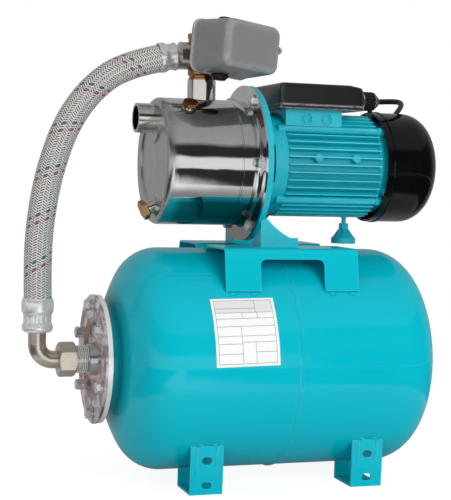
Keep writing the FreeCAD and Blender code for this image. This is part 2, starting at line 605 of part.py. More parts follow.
def saddle():
    """Bent sheet across the tank's top: plate with a stiffening channel, and windowed skirts."""
    foot = "(tank_axis + sqrt((tank_radius + end_gap)^2 - (skirt_half - saddle_sheet)^2))"
    top, sheet_in = "saddle_top", "saddle_top - saddle_sheet"
    knee = "(saddle_top - saddle_bend)"
    half = [("bead_half", top), ("saddle_half - saddle_bend", top), ("saddle_half", knee, "-saddle_bend"),
            ("skirt_half", foot), ("skirt_half - saddle_sheet", foot),
            ("saddle_half - saddle_sheet", knee),
            ("saddle_half - saddle_bend", sheet_in, "saddle_bend - saddle_sheet"),
            ("bead_half + 1", sheet_in), ("bead_half - bead_depth + 1", sheet_in + " - bead_depth")]
    mirrored = [("-(%s)" % step[0], step[1]) for step in half]
    bends = {2: "-saddle_bend", 6: "saddle_bend - saddle_sheet"}
    back = []
    for index in range(len(half) - 1, -1, -1):
        step = mirrored[index]
        bend = bends.get(index + 1)
        back.append(step + (bend,) if bend else step)
    start = ("bead_half - bead_depth", "saddle_top - bead_depth")
    loop = [start] + half + back + [("-(%s)" % start[0], start[1])]
    plate = padded("YZ", [loop], "saddle_right - saddle_left", ("saddle_left", "0", "0"))
    width = "window_right - window_left"
    low = "(tank_axis + 70)"
    window = box(width, "3 * skirt_half", "window_top - window_corner - " + low,
                 ("window_left", "-1.5 * skirt_half", low))
    brow = box(width + " - 2 * window_corner", "3 * skirt_half", "window_top - " + low,
               ("window_left + window_corner", "-1.5 * skirt_half", low))
    corners = [cylinder("window_corner", "3 * skirt_half",
                        (x, "-1.5 * skirt_half", "window_top - window_corner"), "y")
               for x in ("window_left + window_corner", "window_right - window_corner")]
    pads = [box("leg_right - leg_left", "leg_face - leg_bolt_y + 14", "pad_rise",
                ("leg_left", y, "saddle_top"))
            for y in ("-leg_face", "leg_bolt_y - 14")]
    holes = [cylinder("bolt_radius + end_gap", "20",
                      ("leg_bolt_x", "%d * leg_bolt_y" % side, "saddle_top - 12"), "z")
             for side in (-1, 1)]
    shell = cylinder("tank_radius + end_gap", "saddle_right - saddle_left + 20",
                     ("saddle_left - 10", "0", "tank_axis"), "x")
    seam = cylinder("tank_radius + seam_rise + end_gap", "2 * seam_half + 4", ("-seam_half - 2", "0", "tank_axis"),
                    "x")
    node("pump_saddle", cut(fuse(plate, *pads), window, brow, *corners, *holes, shell, seam))


# ---- pump --------------------------------------------------------------------------------

PUMP_AT = ("joint_x", "0", "shaft_z")


def tilted(angle_name):
    """Directions set by an angle of the sheet."""
    angle = math.radians(size(angle_name))
    return math.sin(angle), math.cos(angle)


def fill_direction():
    sine, cosine = tilted("fill_angle")
    return Vector(0, -sine, cosine)


def drain_direction():
    sine, cosine = tilted("drain_angle")
    return Vector(-cosine, 0, -sine)


def along(base, direction, distance):
    """A place some distance along a direction from a base place."""
    return tuple("%s + (%s) * (%.9f)" % (text, distance, part)
                 for text, part in zip(base, (direction.x, direction.y, direction.z)))


FILL_BASE = ("fill_x", "0", "shaft_z")
DRAIN_BASE = ("drain_x", "drain_y", "drain_z")


def pump_casing():
    end = "(joint_x - casing_end)"
    inner = "(casing_radius - casing_wall)"
    groove = "(joint_x - groove_at)"
    bend, bend_in = "flare_bend", "flare_bend + casing_wall"
    rim = "(casing_radius + flare_bend)"
    shell = turned([
        ("casing_wall", "casing_flange"), ("casing_wall", rim),
        ("casing_wall + flare_bend", "casing_radius", bend),
        (groove + " - groove_half", "casing_radius"),
        (groove + " - groove_half / 2", "casing_radius - groove_depth"),
        (groove + " + groove_half / 2", "casing_radius - groove_depth"),
        (groove + " + groove_half", "casing_radius"), (end + " - shoulder", "casing_radius"),
        (end, "casing_radius - shoulder", "-shoulder"), (end, "panel_radius + 1"),
        (end + " - panel_drop", "panel_radius - 1"), (end + " - panel_drop", "0"),
        (end + " - panel_drop - casing_wall", "0"),
        (end + " - panel_drop - casing_wall", "panel_radius"), (end + " - casing_wall", "panel_radius + 2"),
        (end + " - casing_wall", "casing_radius - shoulder"),
        (end + " - shoulder", inner, "shoulder - casing_wall"),
        ("casing_wall + flare_bend", inner), ("0", rim, "-(%s)" % bend_in), ("0", "casing_flange")],
        PUMP_AT, "-x")
    pad = common(cylinder("inlet_radius + inlet_pad", "panel_drop + casing_wall / 2",
                          ("casing_end", "0", "shaft_z + inlet_rise"), "x"),
                 cylinder("panel_radius + 2", "panel_drop + casing_wall / 2", ("casing_end", "0", "shaft_z"), "x"))
    cuts = [
        cylinder("inlet_radius + running_gap", "20",
                 ("casing_end - 6", "0", "shaft_z + inlet_rise"), "x"),
        cylinder("outlet_radius + running_gap", "30", ("outlet_x", "0", "shaft_z + casing_radius - 16"), "z"),
        cylinder("fill_boss + running_gap", "20",
                 along(FILL_BASE, fill_direction(), "casing_radius - 10"), fill_direction()),
        cylinder("drain_radius + running_gap", "drain_length",
                 along(DRAIN_BASE, drain_direction(), "-2"), drain_direction())]
    cuts += [cylinder("bolt_radius + end_gap", "12", ("joint_x - 8", y, z), "x")
             for y, z in around("flange_bolts", "flange_ring", "0", "shaft_z", 30)]
    node("pump_casing", cut(fuse(shell, pad), *cuts))


def pump_sockets():
    inlet_back = "(casing_end + casing_wall + panel_drop)"
    inlet = turned(ring_steps("0", inlet_back + " - inlet_end", "inlet_bore", "inlet_radius"),
                   (inlet_back, "0", "shaft_z + inlet_rise"), "-x")
    low = "(shaft_z + casing_radius - casing_wall - socket_reach)"
    outlet = turned(ring_steps("0", "outlet_top - " + low, "pipe_thread + running_gap", "outlet_radius"),
                    ("outlet_x", "0", low), "z")
    reach = "(casing_radius - casing_wall - 1)"
    boss = turned(ring_steps("0", "casing_wall + 1 + fill_boss_rise", "fill_thread + running_gap",
                             "fill_boss"), along(FILL_BASE, fill_direction(), reach), fill_direction())
    stub = turned(ring_steps("0", "drain_length", "drain_thread + running_gap", "drain_radius"),
                  DRAIN_BASE, drain_direction())
    node("casing_sockets", group(inlet, outlet, boss, stub))


def port_plugs():
    """Brass plugs of the filling, draining and gauge ports."""
    fill_seat = "casing_radius + fill_boss_rise"
    fill = fuse(
        turned([("-8", "0"), ("-8", "fill_thread"), ("0", "fill_thread"), ("0", "fill_boss"),
                ("1.5", "fill_boss"), ("1.5", "0")],
               along(FILL_BASE, fill_direction(), fill_seat), fill_direction()),
        prism("fill_across", "fill_head - 1.5",
              along(FILL_BASE, fill_direction(), fill_seat + " + 1.5"), fill_direction()))
    drain = fuse(
        turned([("-8", "0"), ("-8", "drain_thread"), ("0", "drain_thread"), ("0", "drain_radius + 1"),
                ("1.5", "drain_radius + 1"), ("1.5", "0")],
               along(DRAIN_BASE, drain_direction(), "drain_length"), drain_direction()),
        prism("drain_across", "plug_head - 1.5",
              along(DRAIN_BASE, drain_direction(), "drain_length + 1.5"), drain_direction()))
    seat = ("outlet_x", "fitting_radius + 4", "gauge_port_z")
    gauge = fuse(cylinder("6 - running_gap", "8", seat, "-y"), prism("gauge_plug_across", "5", seat, "y"))
    node("port_plugs", group(fill, drain, gauge))


def pump_inside():
    """Seal plate, O-ring, shaft seal, diffuser and ejector."""
    sheet_end = "seal_plate_sheet"
    plate = turned([
        ("0", "seal_cup - seal_plate_sheet"), ("0", "seal_plate_radius"), (sheet_end, "seal_plate_radius"),
        (sheet_end, "seal_cup"), ("seal_cup_depth", "seal_cup"), ("seal_cup_depth", "seal_bore"),
        ("seal_cup_depth - seal_plate_sheet", "seal_bore"),
        ("seal_cup_depth - seal_plate_sheet", "seal_cup - seal_plate_sheet")], PUMP_AT, "x")
    node("seal_plate", plate)
    node("casing_oring", torus("oring_radius", "oring_section",
                               ("joint_x - oring_section - running_gap", "0", "shaft_z"), "x"))
    seat_end = "(seal_cup_depth - seal_plate_sheet)"
    node("seal_seat", turned(ring_steps(seat_end + " - seat_depth", seat_end, "seal_seat + 0.6",
                                        "seat_radius"), PUMP_AT, "x"))
    node("seal_rotor", turned(ring_steps("-seal_back + 0.2", seat_end + " - seat_depth - running_gap",
                                         "seal_seat + 0.02", "seal_radius"), PUMP_AT, "x"))
    ring_in = "(diffuser_radius - diffuser_wall)"
    front = "(diffuser_front + diffuser_sheet)"
    diffuser = turned([
        ("0", ring_in), ("0", "diffuser_radius"), (front, "diffuser_radius"), (front, "diffuser_eye"),
        ("diffuser_front", "diffuser_eye"), ("diffuser_front", ring_in)], PUMP_AT, "-x")
    ejector = turned([
        (front + " - 1", "diffuser_eye - 2"), (front + " - 1", "diffuser_eye + 4"), (front + " + 4", "diffuser_eye + 4"),
        (front + " + 8", "ejector_radius"), (front + " + 30", "ejector_waist"),
        ("ejector_end - 16", "ejector_waist"), ("ejector_end - 8", "ejector_radius + 3"),
        ("ejector_end", "ejector_radius + 3"), ("ejector_end", "ejector_bore + 4"),
        ("ejector_end - 20", "ejector_bore"), (front + " + 12", "ejector_bore")], PUMP_AT, "-x")
    node("diffuser", fuse(diffuser, ejector))


def impeller():
    """Two shrouds, a hub and curved vanes between them, repeated round the axis."""
    body = doc.addObject("PartDesign::Body", "Impeller")
    back, front = "impeller_back", "(impeller_back + shroud + vane_height)"
    profile = new_sketch(body, "XZ")
    draw_loop(profile, [
        ("-(seal_back)", "impeller_seat + 0.02"), ("-(seal_back)", "impeller_hub"),
        ("-" + back, "impeller_hub"), ("-" + back, "impeller_radius"),
        ("-(%s + shroud)" % back, "impeller_radius"), ("-(%s + shroud)" % back, "impeller_hub"),
        ("-%s" % front, "impeller_hub"), ("-%s" % front, "impeller_seat + 0.02")])
    hub = body.newObject("PartDesign::Revolution", "Hub")
    hub.Profile, hub.ReferenceAxis, hub.Angle = profile, (profile, ["H_Axis"]), 360
    vane_sketch = new_sketch(body, "YZ")
    draw_loop(vane_sketch, [
        ("impeller_hub - 1", "0"), ("impeller_radius - 10", "impeller_radius / 2", "-impeller_radius"),
        ("impeller_radius - 10", "impeller_radius / 2 + 2 * vane_sheet"),
        ("impeller_hub - 1", "vane_sheet", "impeller_radius - vane_sheet")])
    vane = body.newObject("PartDesign::Pad", "Vane")
    vane.Profile = vane_sketch
    vane.Reversed = True
    bind(vane, Length=front)
    polar(body, [vane], "X", "vanes")
    place(body, PUMP_AT, AXES["x"], "x")
    shroud_ring = turned(ring_steps(front, front + " + shroud", "impeller_eye", "impeller_radius"),
                         PUMP_AT, "-x")
    clear = cylinder("impeller_radius + 1", "impeller_back + shroud / 2 + 20",
                     ("joint_x - impeller_back - shroud / 2", "0", "shaft_z"), "x")
    hub_again = turned(ring_steps("seal_back", "impeller_back + shroud", "impeller_seat + 0.02",
                                  "impeller_hub"), PUMP_AT, "-x")
    plate = turned(ring_steps(back, "impeller_back + shroud", "impeller_seat + 0.02",
                              "impeller_radius"), PUMP_AT, "-x")
    node("impeller", fuse(cut(body, clear), shroud_ring, plate, hub_again))


# ---- motor -------------------------------------------------------------------------------

def motor_adapter():
    """Casting with the pump flange, the windowed lantern, the bearing wall and two legs."""
    end = "(motor_start - joint_x)"
    cavity_end = "(%s - bearing_wall)" % end
    pocket = "(%s - front_bearing_width)" % end
    bore = "front_bearing_radius + running_gap"
    casting = turned([
        ("0", "seal_plate_radius + 0.2"), ("0", "adapter_radius"), ("adapter_flange", "adapter_radius"),
        ("adapter_flange", "lantern_radius + 6"), ("adapter_flange + 6", "lantern_radius"),
        (end, "lantern_radius"), (end, bore), (pocket, bore), (pocket, "seal_bore"),
        (cavity_end, "seal_bore"), (cavity_end, "lantern_radius - lantern_wall"),
        ("adapter_flange + 2", "lantern_radius - lantern_wall"), ("adapter_flange + 2", "seal_cup + 1"),
        ("seal_plate_sheet", "seal_cup + 1"), ("seal_plate_sheet", "seal_plate_radius + 0.2")],
        PUMP_AT, "x")
    sole = "(saddle_top + pad_rise)"
    web = [("leg_left", sole), ("leg_right", sole), ("leg_right", sole + " + leg_toe"),
           ("leg_right - leg_ledge / 2", sole + " + leg_toe"),
           ("leg_left + leg_ledge / 4", "leg_crown", "-leg_bend"), ("leg_left", "leg_top")]
    height = "leg_bolt_y - 12"
    legs = []
    for side in (-1, 1):
        deep = "-leg_face + leg_sheet" if side < 0 else "leg_face"
        legs.append(padded("XZ", [web], "leg_sheet", ("0", deep, "0")))
        legs.append(box("leg_right - leg_left", "leg_face - (%s)" % height, "leg_flange",
                        ("leg_left", "-leg_face" if side < 0 else height, sole)))
    brace = box("leg_flange", "2 * leg_face", "leg_top - " + sole, ("leg_left", "-leg_face", sole))
    gap = cylinder("lantern_radius", "2 * leg_face", ("leg_left - leg_face", "0", "shaft_z"), "x")
    arch = box("2 * leg_flange + 2", "2 * (%s)" % height, "leg_top - %s - 12" % sole,
               ("leg_left - 1", "-(%s)" % height, sole + " - 1"))
    brace = cut(brace, gap, arch)
    window = box("lantern_window_length", "4 * lantern_radius",
                 "lantern_window_height",
                 ("lantern_window_left", "-2 * lantern_radius", "lantern_window_low"))
    holes = [cylinder("bolt_radius + running_gap", "adapter_flange + 2", ("joint_x - 1", y, z), "x")
             for y, z in around("flange_bolts", "flange_ring", "0", "shaft_z", 30)]
    holes += [cylinder("bolt_radius + end_gap", "leg_flange + 2",
                       ("leg_bolt_x", "%d * leg_bolt_y" % side, sole + " - 1"), "z") for side in (-1, 1)]
    lugs, lug_holes = [], []
    for y, z in tie_places():
        lugs.append(cylinder("tie_radius + 4", "10", ("motor_start - 10", y, z), "x"))
        lug_holes.append(cylinder("tie_radius + running_gap", "12", ("motor_start - 8", y, z), "x"))
    node("motor_adapter", cut(fuse(casting, *legs, brace, *lugs), window, *holes, *lug_holes))


def tie_places():
    spots = []
    for angle in (45, 135, 225, 315):
        spots.append(("tie_ring * sin(%d)" % angle, "shaft_z + tie_ring * cos(%d)" % angle))
    return spots


def pump_bolts():
    """Bolts round the casing's flange, and a bolt and nut through each leg and the saddle."""
    bolts = [hex_bolt(("joint_x - casing_wall", y, z), "-x", "bolt_across", "bolt_head", "bolt_radius",
                      "casing_wall + adapter_flange + 1")
             for y, z in around("flange_bolts", "flange_ring", "0", "shaft_z", 30)]
    for side in (-1, 1):
        at = ("leg_bolt_x", "%d * leg_bolt_y" % side, "saddle_top + pad_rise + leg_flange")
        bolts.append(hex_bolt(at, "z", "bolt_across", "bolt_head", "bolt_radius",
                              "leg_flange + pad_rise + saddle_sheet + 8"))
        under = (at[0], at[1], "saddle_top - saddle_sheet")
        above = (at[0], at[1], "saddle_top - saddle_sheet + 1")
        bolts.append(cut(prism("bolt_across", "6", under, "-z"),
                         cylinder("bolt_radius + running_gap", "8", above, "-z")))
    node("pump_bolts", group(*bolts))


def motor_housing():
    """Ribbed tube: one fin, repeated round the axis, and the two screw bosses on its front."""
    body = doc.addObject("PartDesign::Body", "Housing")
    length = "housing_end - motor_start"
    tube_sketch = new_sketch(body, "YZ")
    draw_circle(tube_sketch, "0", "0", "housing_radius")
    draw_circle(tube_sketch, "0", "0", "housing_bore")
    tube = body.newObject("PartDesign::Pad", "Tube")
    tube.Profile = tube_sketch
    bind(tube, Length=length)
    fin_sketch = new_sketch(body, "YZ")
    half = "fin_sheet / 2"
    draw_loop(fin_sketch, [("housing_radius - 1", "-" + half), ("fin_radius", "-%s * 0.7" % half),
                           ("fin_radius", half + " * 0.7"), ("housing_radius - 1", half)])
    fin = body.newObject("PartDesign::Pad", "Fin")
    fin.Profile = fin_sketch
    bind(fin, Length=length)
    polar(body, [fin], "X", "fins")
    place(body, ("motor_start", "0", "shaft_z"), AXES["x"], "x")
    sine, cosine = tilted("stud_boss_tilt")
    outward = Vector(0, -cosine, sine)
    bosses = []
    for x in ("stud_boss_left", "stud_boss_right"):
        start = along((x, "0", "shaft_z"), outward, "housing_radius - 1")
        bosses.append(cylinder("stud_boss", "stud_boss_rise", start, outward))
    foot_boss = cylinder("rear_foot_stem + 2", "fin_radius - housing_radius + 1",
                         ("rear_foot_x", "0", "shaft_z - housing_radius + 1"), "-z")
    socket = cylinder("rear_foot_stud + running_gap", "fin_radius - housing_bore - 2",
                      ("rear_foot_x", "0", "shaft_z - fin_radius - 1"), "z")
    ribs = [cylinder("tie_rib", length, ("motor_start", y, z), "x") for y, z in tie_places()]
    rib_holes = [cylinder("tie_radius + running_gap", length + " + 2", ("motor_start - 1", y, z), "x")
                 for y, z in tie_places()]
    node("motor_housing", cut(fuse(body, *bosses, foot_boss, *ribs), socket, *rib_holes))


def rear_shield():
    """End shield with the rear bearing's pocket and the rim that the fan cover slips over."""
    hub_start = "(rear_bearing_width + 1)"
    bore = "rear_bearing_radius + running_gap"
    shield = turned([
        ("-" + hub_start, bore), ("-" + hub_start, "shield_hub"), ("-shield_spigot", "shield_hub"),
        ("-shield_spigot", "housing_bore - 5"), ("-shield_spigot", "housing_bore - running_gap"),
        ("0", "housing_bore - running_gap"), ("0", "shield_radius"), ("shield_depth", "shield_radius"),
        ("shield_depth", "shield_radius - 3"), ("shield_plate", "shield_radius - 3"),
        ("shield_plate", "rear_journal + 1"), ("0", "rear_journal + 1"), ("0", bore)],
        ("housing_end", "0", "shaft_z"), "x")
    holes = [cylinder("tie_radius + running_gap", "shield_plate + 2", ("housing_end - 1", y, z), "x")
             for y, z in tie_places()]
    sockets = [cylinder("cover_screw_radius + running_gap", "8",
                        along(("cover_screw_at", "0", "shaft_z"), direction, "fan_cover_radius"),
                        -direction) for direction in screw_directions()]
    lugs = []
    for direction in screw_directions():
        lugs.append(cylinder("lug_width / 2", "fan_cover_radius - fan_cover_wall - end_gap - shield_radius + 4",
                             along(("cover_screw_at", "0", "shaft_z"), direction, "shield_radius - 4"),
                             direction))
    rim = cylinder("fan_cover_radius - fan_cover_wall - end_gap", "shield_depth", ("housing_end", "0", "shaft_z"), "x")
    room = cylinder("shield_radius - 2", "shield_depth + 2", ("housing_end - 1", "0", "shaft_z"), "x")
    lugs = cut(common(fuse(*lugs), rim), room)
    ears = [cylinder("tie_radius + 4", "shield_plate", ("housing_end", y, z), "x") for y, z in tie_places()]
    head_rooms = [cylinder("tie_radius + 2.6", "shield_depth", ("housing_end + shield_plate", y, z), "x")
                  for y, z in tie_places()]
    node("rear_shield", cut(fuse(shield, lugs, *ears), *holes, *sockets, *head_rooms))


def screw_directions():
    turns = [math.radians(angle) for angle in (0, 120, 240)]
    return [Vector(0, math.sin(turn), math.cos(turn)) for turn in turns]


def motor_screws():
    """The long screws through the motor and the four that hold the fan cover."""
    length = "housing_end + shield_plate - motor_start + 8"
    screws = [hex_bolt(("housing_end + shield_plate", y, z), "x", "2 * tie_radius + 3", "tie_head",
                       "tie_radius", length) for y, z in tie_places()]
    for direction in screw_directions():
        seat = along(("cover_screw_at", "0", "shaft_z"), direction, "fan_cover_radius + 0.1")
        screws.append(fuse(cylinder("cover_screw_head", "2", seat, direction),
                           cylinder("cover_screw_radius", "fan_cover_wall + 4", seat, -direction)))
    node("motor_screws", group(*screws))


def stator():
    at = ("stator_left", "0", "shaft_z")
    end = "stator_length"
    node("stator_core", turned(ring_steps("0", end, "stator_bore", "housing_bore - running_gap"), at))
    rings = [turned(ring_steps(start, start + " + winding_overhang", "winding_bore", "winding_radius"), at)
             for start in ("-(winding_overhang)", end)]
    node("stator_windings", group(*rings))


def shaft_group():
    at = ("shaft_left", "0", "shaft_z")
    seal_start = "(joint_x - seal_back - shaft_left)"
    front = "(motor_start - front_bearing_width - shaft_left)"
    front_end = "(motor_start + end_gap - shaft_left)"
    rear = "(housing_end - rear_bearing_width - end_gap - shaft_left)"
    rear_end = "(housing_end + end_gap - shaft_left)"
    shaft = turned([
        ("0", "0"), ("0", "impeller_seat"), (seal_start, "impeller_seat"), (seal_start, "seal_seat"),
        (front, "seal_seat"), (front, "front_journal - running_gap"),
        (front_end, "front_journal - running_gap"), (front_end, "rotor_seat"), (rear, "rotor_seat"),
        (rear, "rear_journal - running_gap"), (rear_end, "rear_journal - running_gap"),
        (rear_end, "fan_seat"), ("shaft_right - shaft_left", "fan_seat"),
        ("shaft_right - shaft_left", "0")], at)
    node("motor_shaft", shaft)
    node("rotor_core", turned(ring_steps("0", "stator_length", "rotor_seat + 0.02",
                                         "stator_bore - rotor_gap"), ("stator_left", "0", "shaft_z")))
    bearings = []
    for start, width, journal, radius in (
            ("motor_start - front_bearing_width", "front_bearing_width",
             "front_journal", "front_bearing_radius"),
            ("housing_end - rear_bearing_width", "rear_bearing_width",
             "rear_journal", "rear_bearing_radius")):
        bearings.append(turned([
            ("0", journal), ("0", journal + " + 3"), ("1", journal + " + 3"),
            ("1", radius + " - 3"), ("0", radius + " - 3"), ("0", radius), (width, radius),
            (width, radius + " - 3"), (width + " - 1", radius + " - 3"),
            (width + " - 1", journal + " + 3"), (width, journal + " + 3"), (width, journal)],
            (start, "0", "shaft_z")))
    node("motor_bearings", group(*bearings))


def fan():
    """Hub, back plate and straight blades, one of them repeated round the axis."""
    body = doc.addObject("PartDesign::Body", "Fan")
    profile = new_sketch(body, "XZ")
    bore = "fan_seat + 0.02"
    draw_loop(profile, [
        ("0", bore), ("0", "fan_hub"), ("fan_width - fan_sheet", "fan_hub"),
        ("fan_width - fan_sheet", "fan_radius"), ("fan_width", "fan_radius"), ("fan_width", bore)])
    hub = body.newObject("PartDesign::Revolution", "Hub")
    hub.Profile, hub.ReferenceAxis, hub.Angle = profile, (profile, ["H_Axis"]), 360
    blade_sketch = new_sketch(body, "YZ")
    half = "fan_sheet / 2"
    draw_loop(blade_sketch, [("fan_hub - 1", "-" + half), ("fan_radius - 1", "-" + half),
                             ("fan_radius - 1", half), ("fan_hub - 1", half)])
    blade = body.newObject("PartDesign::Pad", "Blade")
    blade.Profile = blade_sketch
    bind(blade, Length="fan_width - fan_sheet / 2")
    polar(body, [blade], "X", "fan_blades")
    place(body, ("fan_left", "0", "shaft_z"), AXES["x"], "x")
    node("cooling_fan", body)


def fan_cover():
    """Cup with a beaded rim, a rounded end and a ring of radial vents."""
    body = doc.addObject("PartDesign::Body", "FanCover")
    end = "(fan_cover_end - fan_cover_left)"
    inner, curve = "(fan_cover_radius - fan_cover_wall)", "fan_cover_round"
    profile = new_sketch(body, "XZ")
    draw_loop(profile, [
        ("0", inner), ("0", "fan_cover_radius"), ("bead_at", "fan_cover_radius"),
        ("bead_at + 1", "fan_cover_radius + bead_rise"), ("bead_at + 3", "fan_cover_radius + bead_rise"),
        ("bead_at + 4", "fan_cover_radius"), (end + " - fan_cover_round", "fan_cover_radius"),
        (end, "fan_cover_radius - fan_cover_round", "-" + curve), (end, "0"),
        (end + " - fan_cover_wall", "0"), (end + " - fan_cover_wall", "fan_cover_radius - fan_cover_round"),
        (end + " - fan_cover_round", inner, "fan_cover_round - fan_cover_wall")])
    cup = body.newObject("PartDesign::Revolution", "Cup")
    cup.Profile, cup.ReferenceAxis, cup.Angle = profile, (profile, ["H_Axis"]), 360
    vent_sketch = new_sketch(body, "YZ")
    half = "vent_width / 2"
    draw_loop(vent_sketch, [("vent_inner", "-" + half), ("vent_outer", "-" + half),
                            ("vent_outer", half), ("vent_inner", half)])
    vent = body.newObject("PartDesign::Pocket", "Vent")
    vent.Profile = vent_sketch
    vent.Type = "ThroughAll"
    vent.Midplane = True
    polar(body, [vent], "X", "vents")
    place(body, ("fan_cover_left", "0", "shaft_z"), AXES["x"], "x")
    holes = [cylinder("cover_screw_radius + end_gap", "8",
                      along(("cover_screw_at", "0", "shaft_z"), direction, "fan_cover_radius - 5"),
                      direction) for direction in screw_directions()]
    node("fan_cover", cut(body, *holes))


def rear_foot():
    """Ribbed plastic foot that hangs from a stud under the motor's fan end."""
    at = ("rear_foot_x", "0", "rear_foot_z")
    disc, top = "rear_foot_disc", "(rear_foot_top - rear_foot_z)"
    body = turned([
        ("0", "0"), ("0", "rear_foot_radius"), (disc, "rear_foot_radius"),
        (disc + " + 8", "rear_foot_stem + 1"), (disc + " + 8", "rear_foot_stem - 1"),
        (top, "rear_foot_stem - 1"), (top, "rear_foot_stud"),
        ("shaft_z - fin_radius - rear_foot_z + 6", "rear_foot_stud"),
        ("shaft_z - fin_radius - rear_foot_z + 6", "0")], at, "z")
    ribs = [box("2 * rear_foot_stem", "2.4", top + " - 2",
                ("rear_foot_x - rear_foot_stem", "-1.2", "rear_foot_z + 2")),
            box("2.4", "2 * rear_foot_stem", top + " - 2",
                ("rear_foot_x - 1.2", "-rear_foot_stem", "rear_foot_z + 2"))]
    node("rear_foot", fuse(body, *ribs))


# ---- terminal box and lead ---------------------------------------------------------------

def terminal_box():
    block = box("box_base_length", "2 * box_base_half", "box_base_top - box_base_low",
                ("box_base_left", "-box_base_half", "box_base_low"))
    saddle_cut = cylinder("fin_radius + 0.2", "box_base_length + 4",
                          ("box_base_left - 2", "0", "shaft_z"), "x")
    wall = "box_base_wall"
    room = box("box_base_length - 2 * " + wall, "2 * (box_base_half - box_base_wall)",
               "box_base_top - box_floor - box_base_low",
               ("box_base_left + box_base_wall", "-box_base_half + box_base_wall", "box_base_low"))
    knockouts = []
    for x in ("knockout_left", "knockout_right"):
        knockouts.append(cylinder("knockout_radius", "knockout_depth + 1",
                                  (x, "-box_base_half - 1", "knockout_z"), "y"))
    wire_hole = cylinder("6", "box_floor + 2", ("box_base_left + box_base_length / 2", "0",
                                              "box_base_top - box_floor - 1"), "z")
    node("terminal_box_base", cut(block, saddle_cut, room, wire_hole, *knockouts))

    length, width = "(box_right - box_left)", "(box_back - box_front)"
    tray = box(length, width, "tray_rise", ("box_left", "box_front", "box_base_top"))
    tray_room = box(length + " - 2 * box_wall", width + " - 2 * box_wall", "tray_rise",
                    ("box_left + box_wall", "box_front + box_wall", "box_base_top + box_floor"))
    tray_hole = cylinder("6", "box_floor + 2", ("box_base_left + box_base_length / 2", "0",
                                              "box_base_top - 1"), "z")
    node("terminal_box_tray", cut(tray, tray_room, tray_hole))

    low = "(box_base_top + tray_rise)"
    outside = padded("XZ", [[("box_left", low), ("box_right", low), ("box_right", "box_shoulder"),
                             ("box_slope_right", "box_top"), ("box_left", "box_top")]],
                     width, ("0", "box_back", "0"))
    doc.recompute()

    def outer_corner(edge):
        low_z = size(low)
        return edge.BoundBox.ZMin > low_z + 0.1 or edge.BoundBox.ZLength > 5

    fillet(outside, "box_round", outer_corner)
    inside = padded("XZ", [[
        ("box_left + box_wall", low + " - 1"), ("box_right - box_wall", low + " - 1"),
        ("box_right - box_wall", "box_shoulder - box_wall"),
        ("box_slope_right - box_wall", "box_top - box_wall"),
        ("box_left + box_wall", "box_top - box_wall")]],
        width + " - 2 * box_wall", ("0", "box_back - box_wall", "0"))
    gland_hole = cylinder("gland_thread + end_gap", "box_wall + 8",
                          ("box_right - box_wall - 5", "gland_y", "gland_z"), "x")
    node("terminal_box_cover", cut(outside, inside, gland_hole))

    floor = "box_base_top + box_floor"
    block = box("block_length", "block_width", "block_height", ("block_left", "block_front", floor))
    wells = [cylinder("2.5", "8", ("block_left + block_length * (%d + 0.5) / 4" % index, "block_front + block_width / 2",
                                   floor + " + block_height - 6"), "z") for index in range(4)]
    node("terminal_block", cut(block, *wells))
    node("run_capacitor", turned([
        ("0", "0"), ("0", "capacitor_radius - 1"), ("1", "capacitor_radius"),
        ("capacitor_length", "capacitor_radius"), ("capacitor_length", "2"),
        ("capacitor_length + 6", "2"), ("capacitor_length + 6", "0")],
        ("block_left + 2", "box_back - 28", floor + " + capacitor_radius"), "x"))


def cable_gland():
    at = ("box_right", "gland_y", "gland_z")
    bore = "cable_radius + 0.1"
    body = fuse(
        turned([("-box_wall - 4", "gland_thread - 1.5"), ("-box_wall - 4", "gland_thread"),
                ("0", "gland_thread"), ("0", "gland_radius"), ("1", "gland_radius"),
                ("1", "gland_thread - 1.5")], at, "x"),
        cut(prism("2 * gland_radius", "gland_hex - 1", ("box_right + 1", "gland_y", "gland_z"), "x"),
            cylinder("gland_thread - 1.5", "gland_hex + 2", at, "x")))
    cap_at = ("box_right + gland_hex", "gland_y", "gland_z")
    cap = turned([("0", bore), ("0", "gland_radius"), ("gland_nut", "gland_radius"),
                  ("gland_nut + gland_tip", "gland_tip_radius"), ("gland_nut + gland_tip", bore)],
                 cap_at, "x")
    node("cable_gland", group(body, cap))


def tube_along(route, radius, bore=0.0):
    """Sweep a round section along straight runs joined by the largest tangent arcs."""
    points = [Vector(*point) for point in route]
    edges, at, tightest = [], points[0], []
    for before, corner, after in zip(points, points[1:], points[2:]):
        into, out = (corner - before).normalize(), (after - corner).normalize()
        turn = into.getAngle(out)
        reach = 0.45 * min((corner - before).Length, (after - corner).Length)
        bend = reach / math.tan(turn / 2)
        tightest.append(bend)
        start, finish = corner - into * reach, corner + out * reach
        inward = (out - into).normalize()
        middle = corner + inward * (bend / math.cos(turn / 2) - bend)
        edges += [Part.LineSegment(at, start).toShape(), Part.Arc(start, middle, finish).toShape()]
        at = finish
    edges.append(Part.LineSegment(at, points[-1]).toShape())
    path = Part.Wire(edges)
    direction = (points[1] - points[0]).normalize()

    def swept(wide):
        disc = Part.Face(Part.Wire(Part.makeCircle(wide, points[0], direction)))
        return path.makePipe(disc)

    shape = swept(radius).cut(swept(bore)) if bore else swept(radius)
    shape = shape.Solids[0]
    expected = math.pi * (radius ** 2 - bore ** 2) * path.Length
    print("cord: length %.1f mm, radii %s" % (path.Length, " ".join("%.0f" % bend for bend in tightest)))
    if abs(shape.Volume / expected - 1) > 0.005:
        raise ValueError("a cord's volume %.0f isn't its section times its length %.0f" % (
            shape.Volume, expected))
    return shape


def cord(label, route, radius, bore=0.0):
    made = doc.addObject("Part::Feature", "Cord")
    made.Shape = tube_along(route, radius, bore)
    return node(label, made)


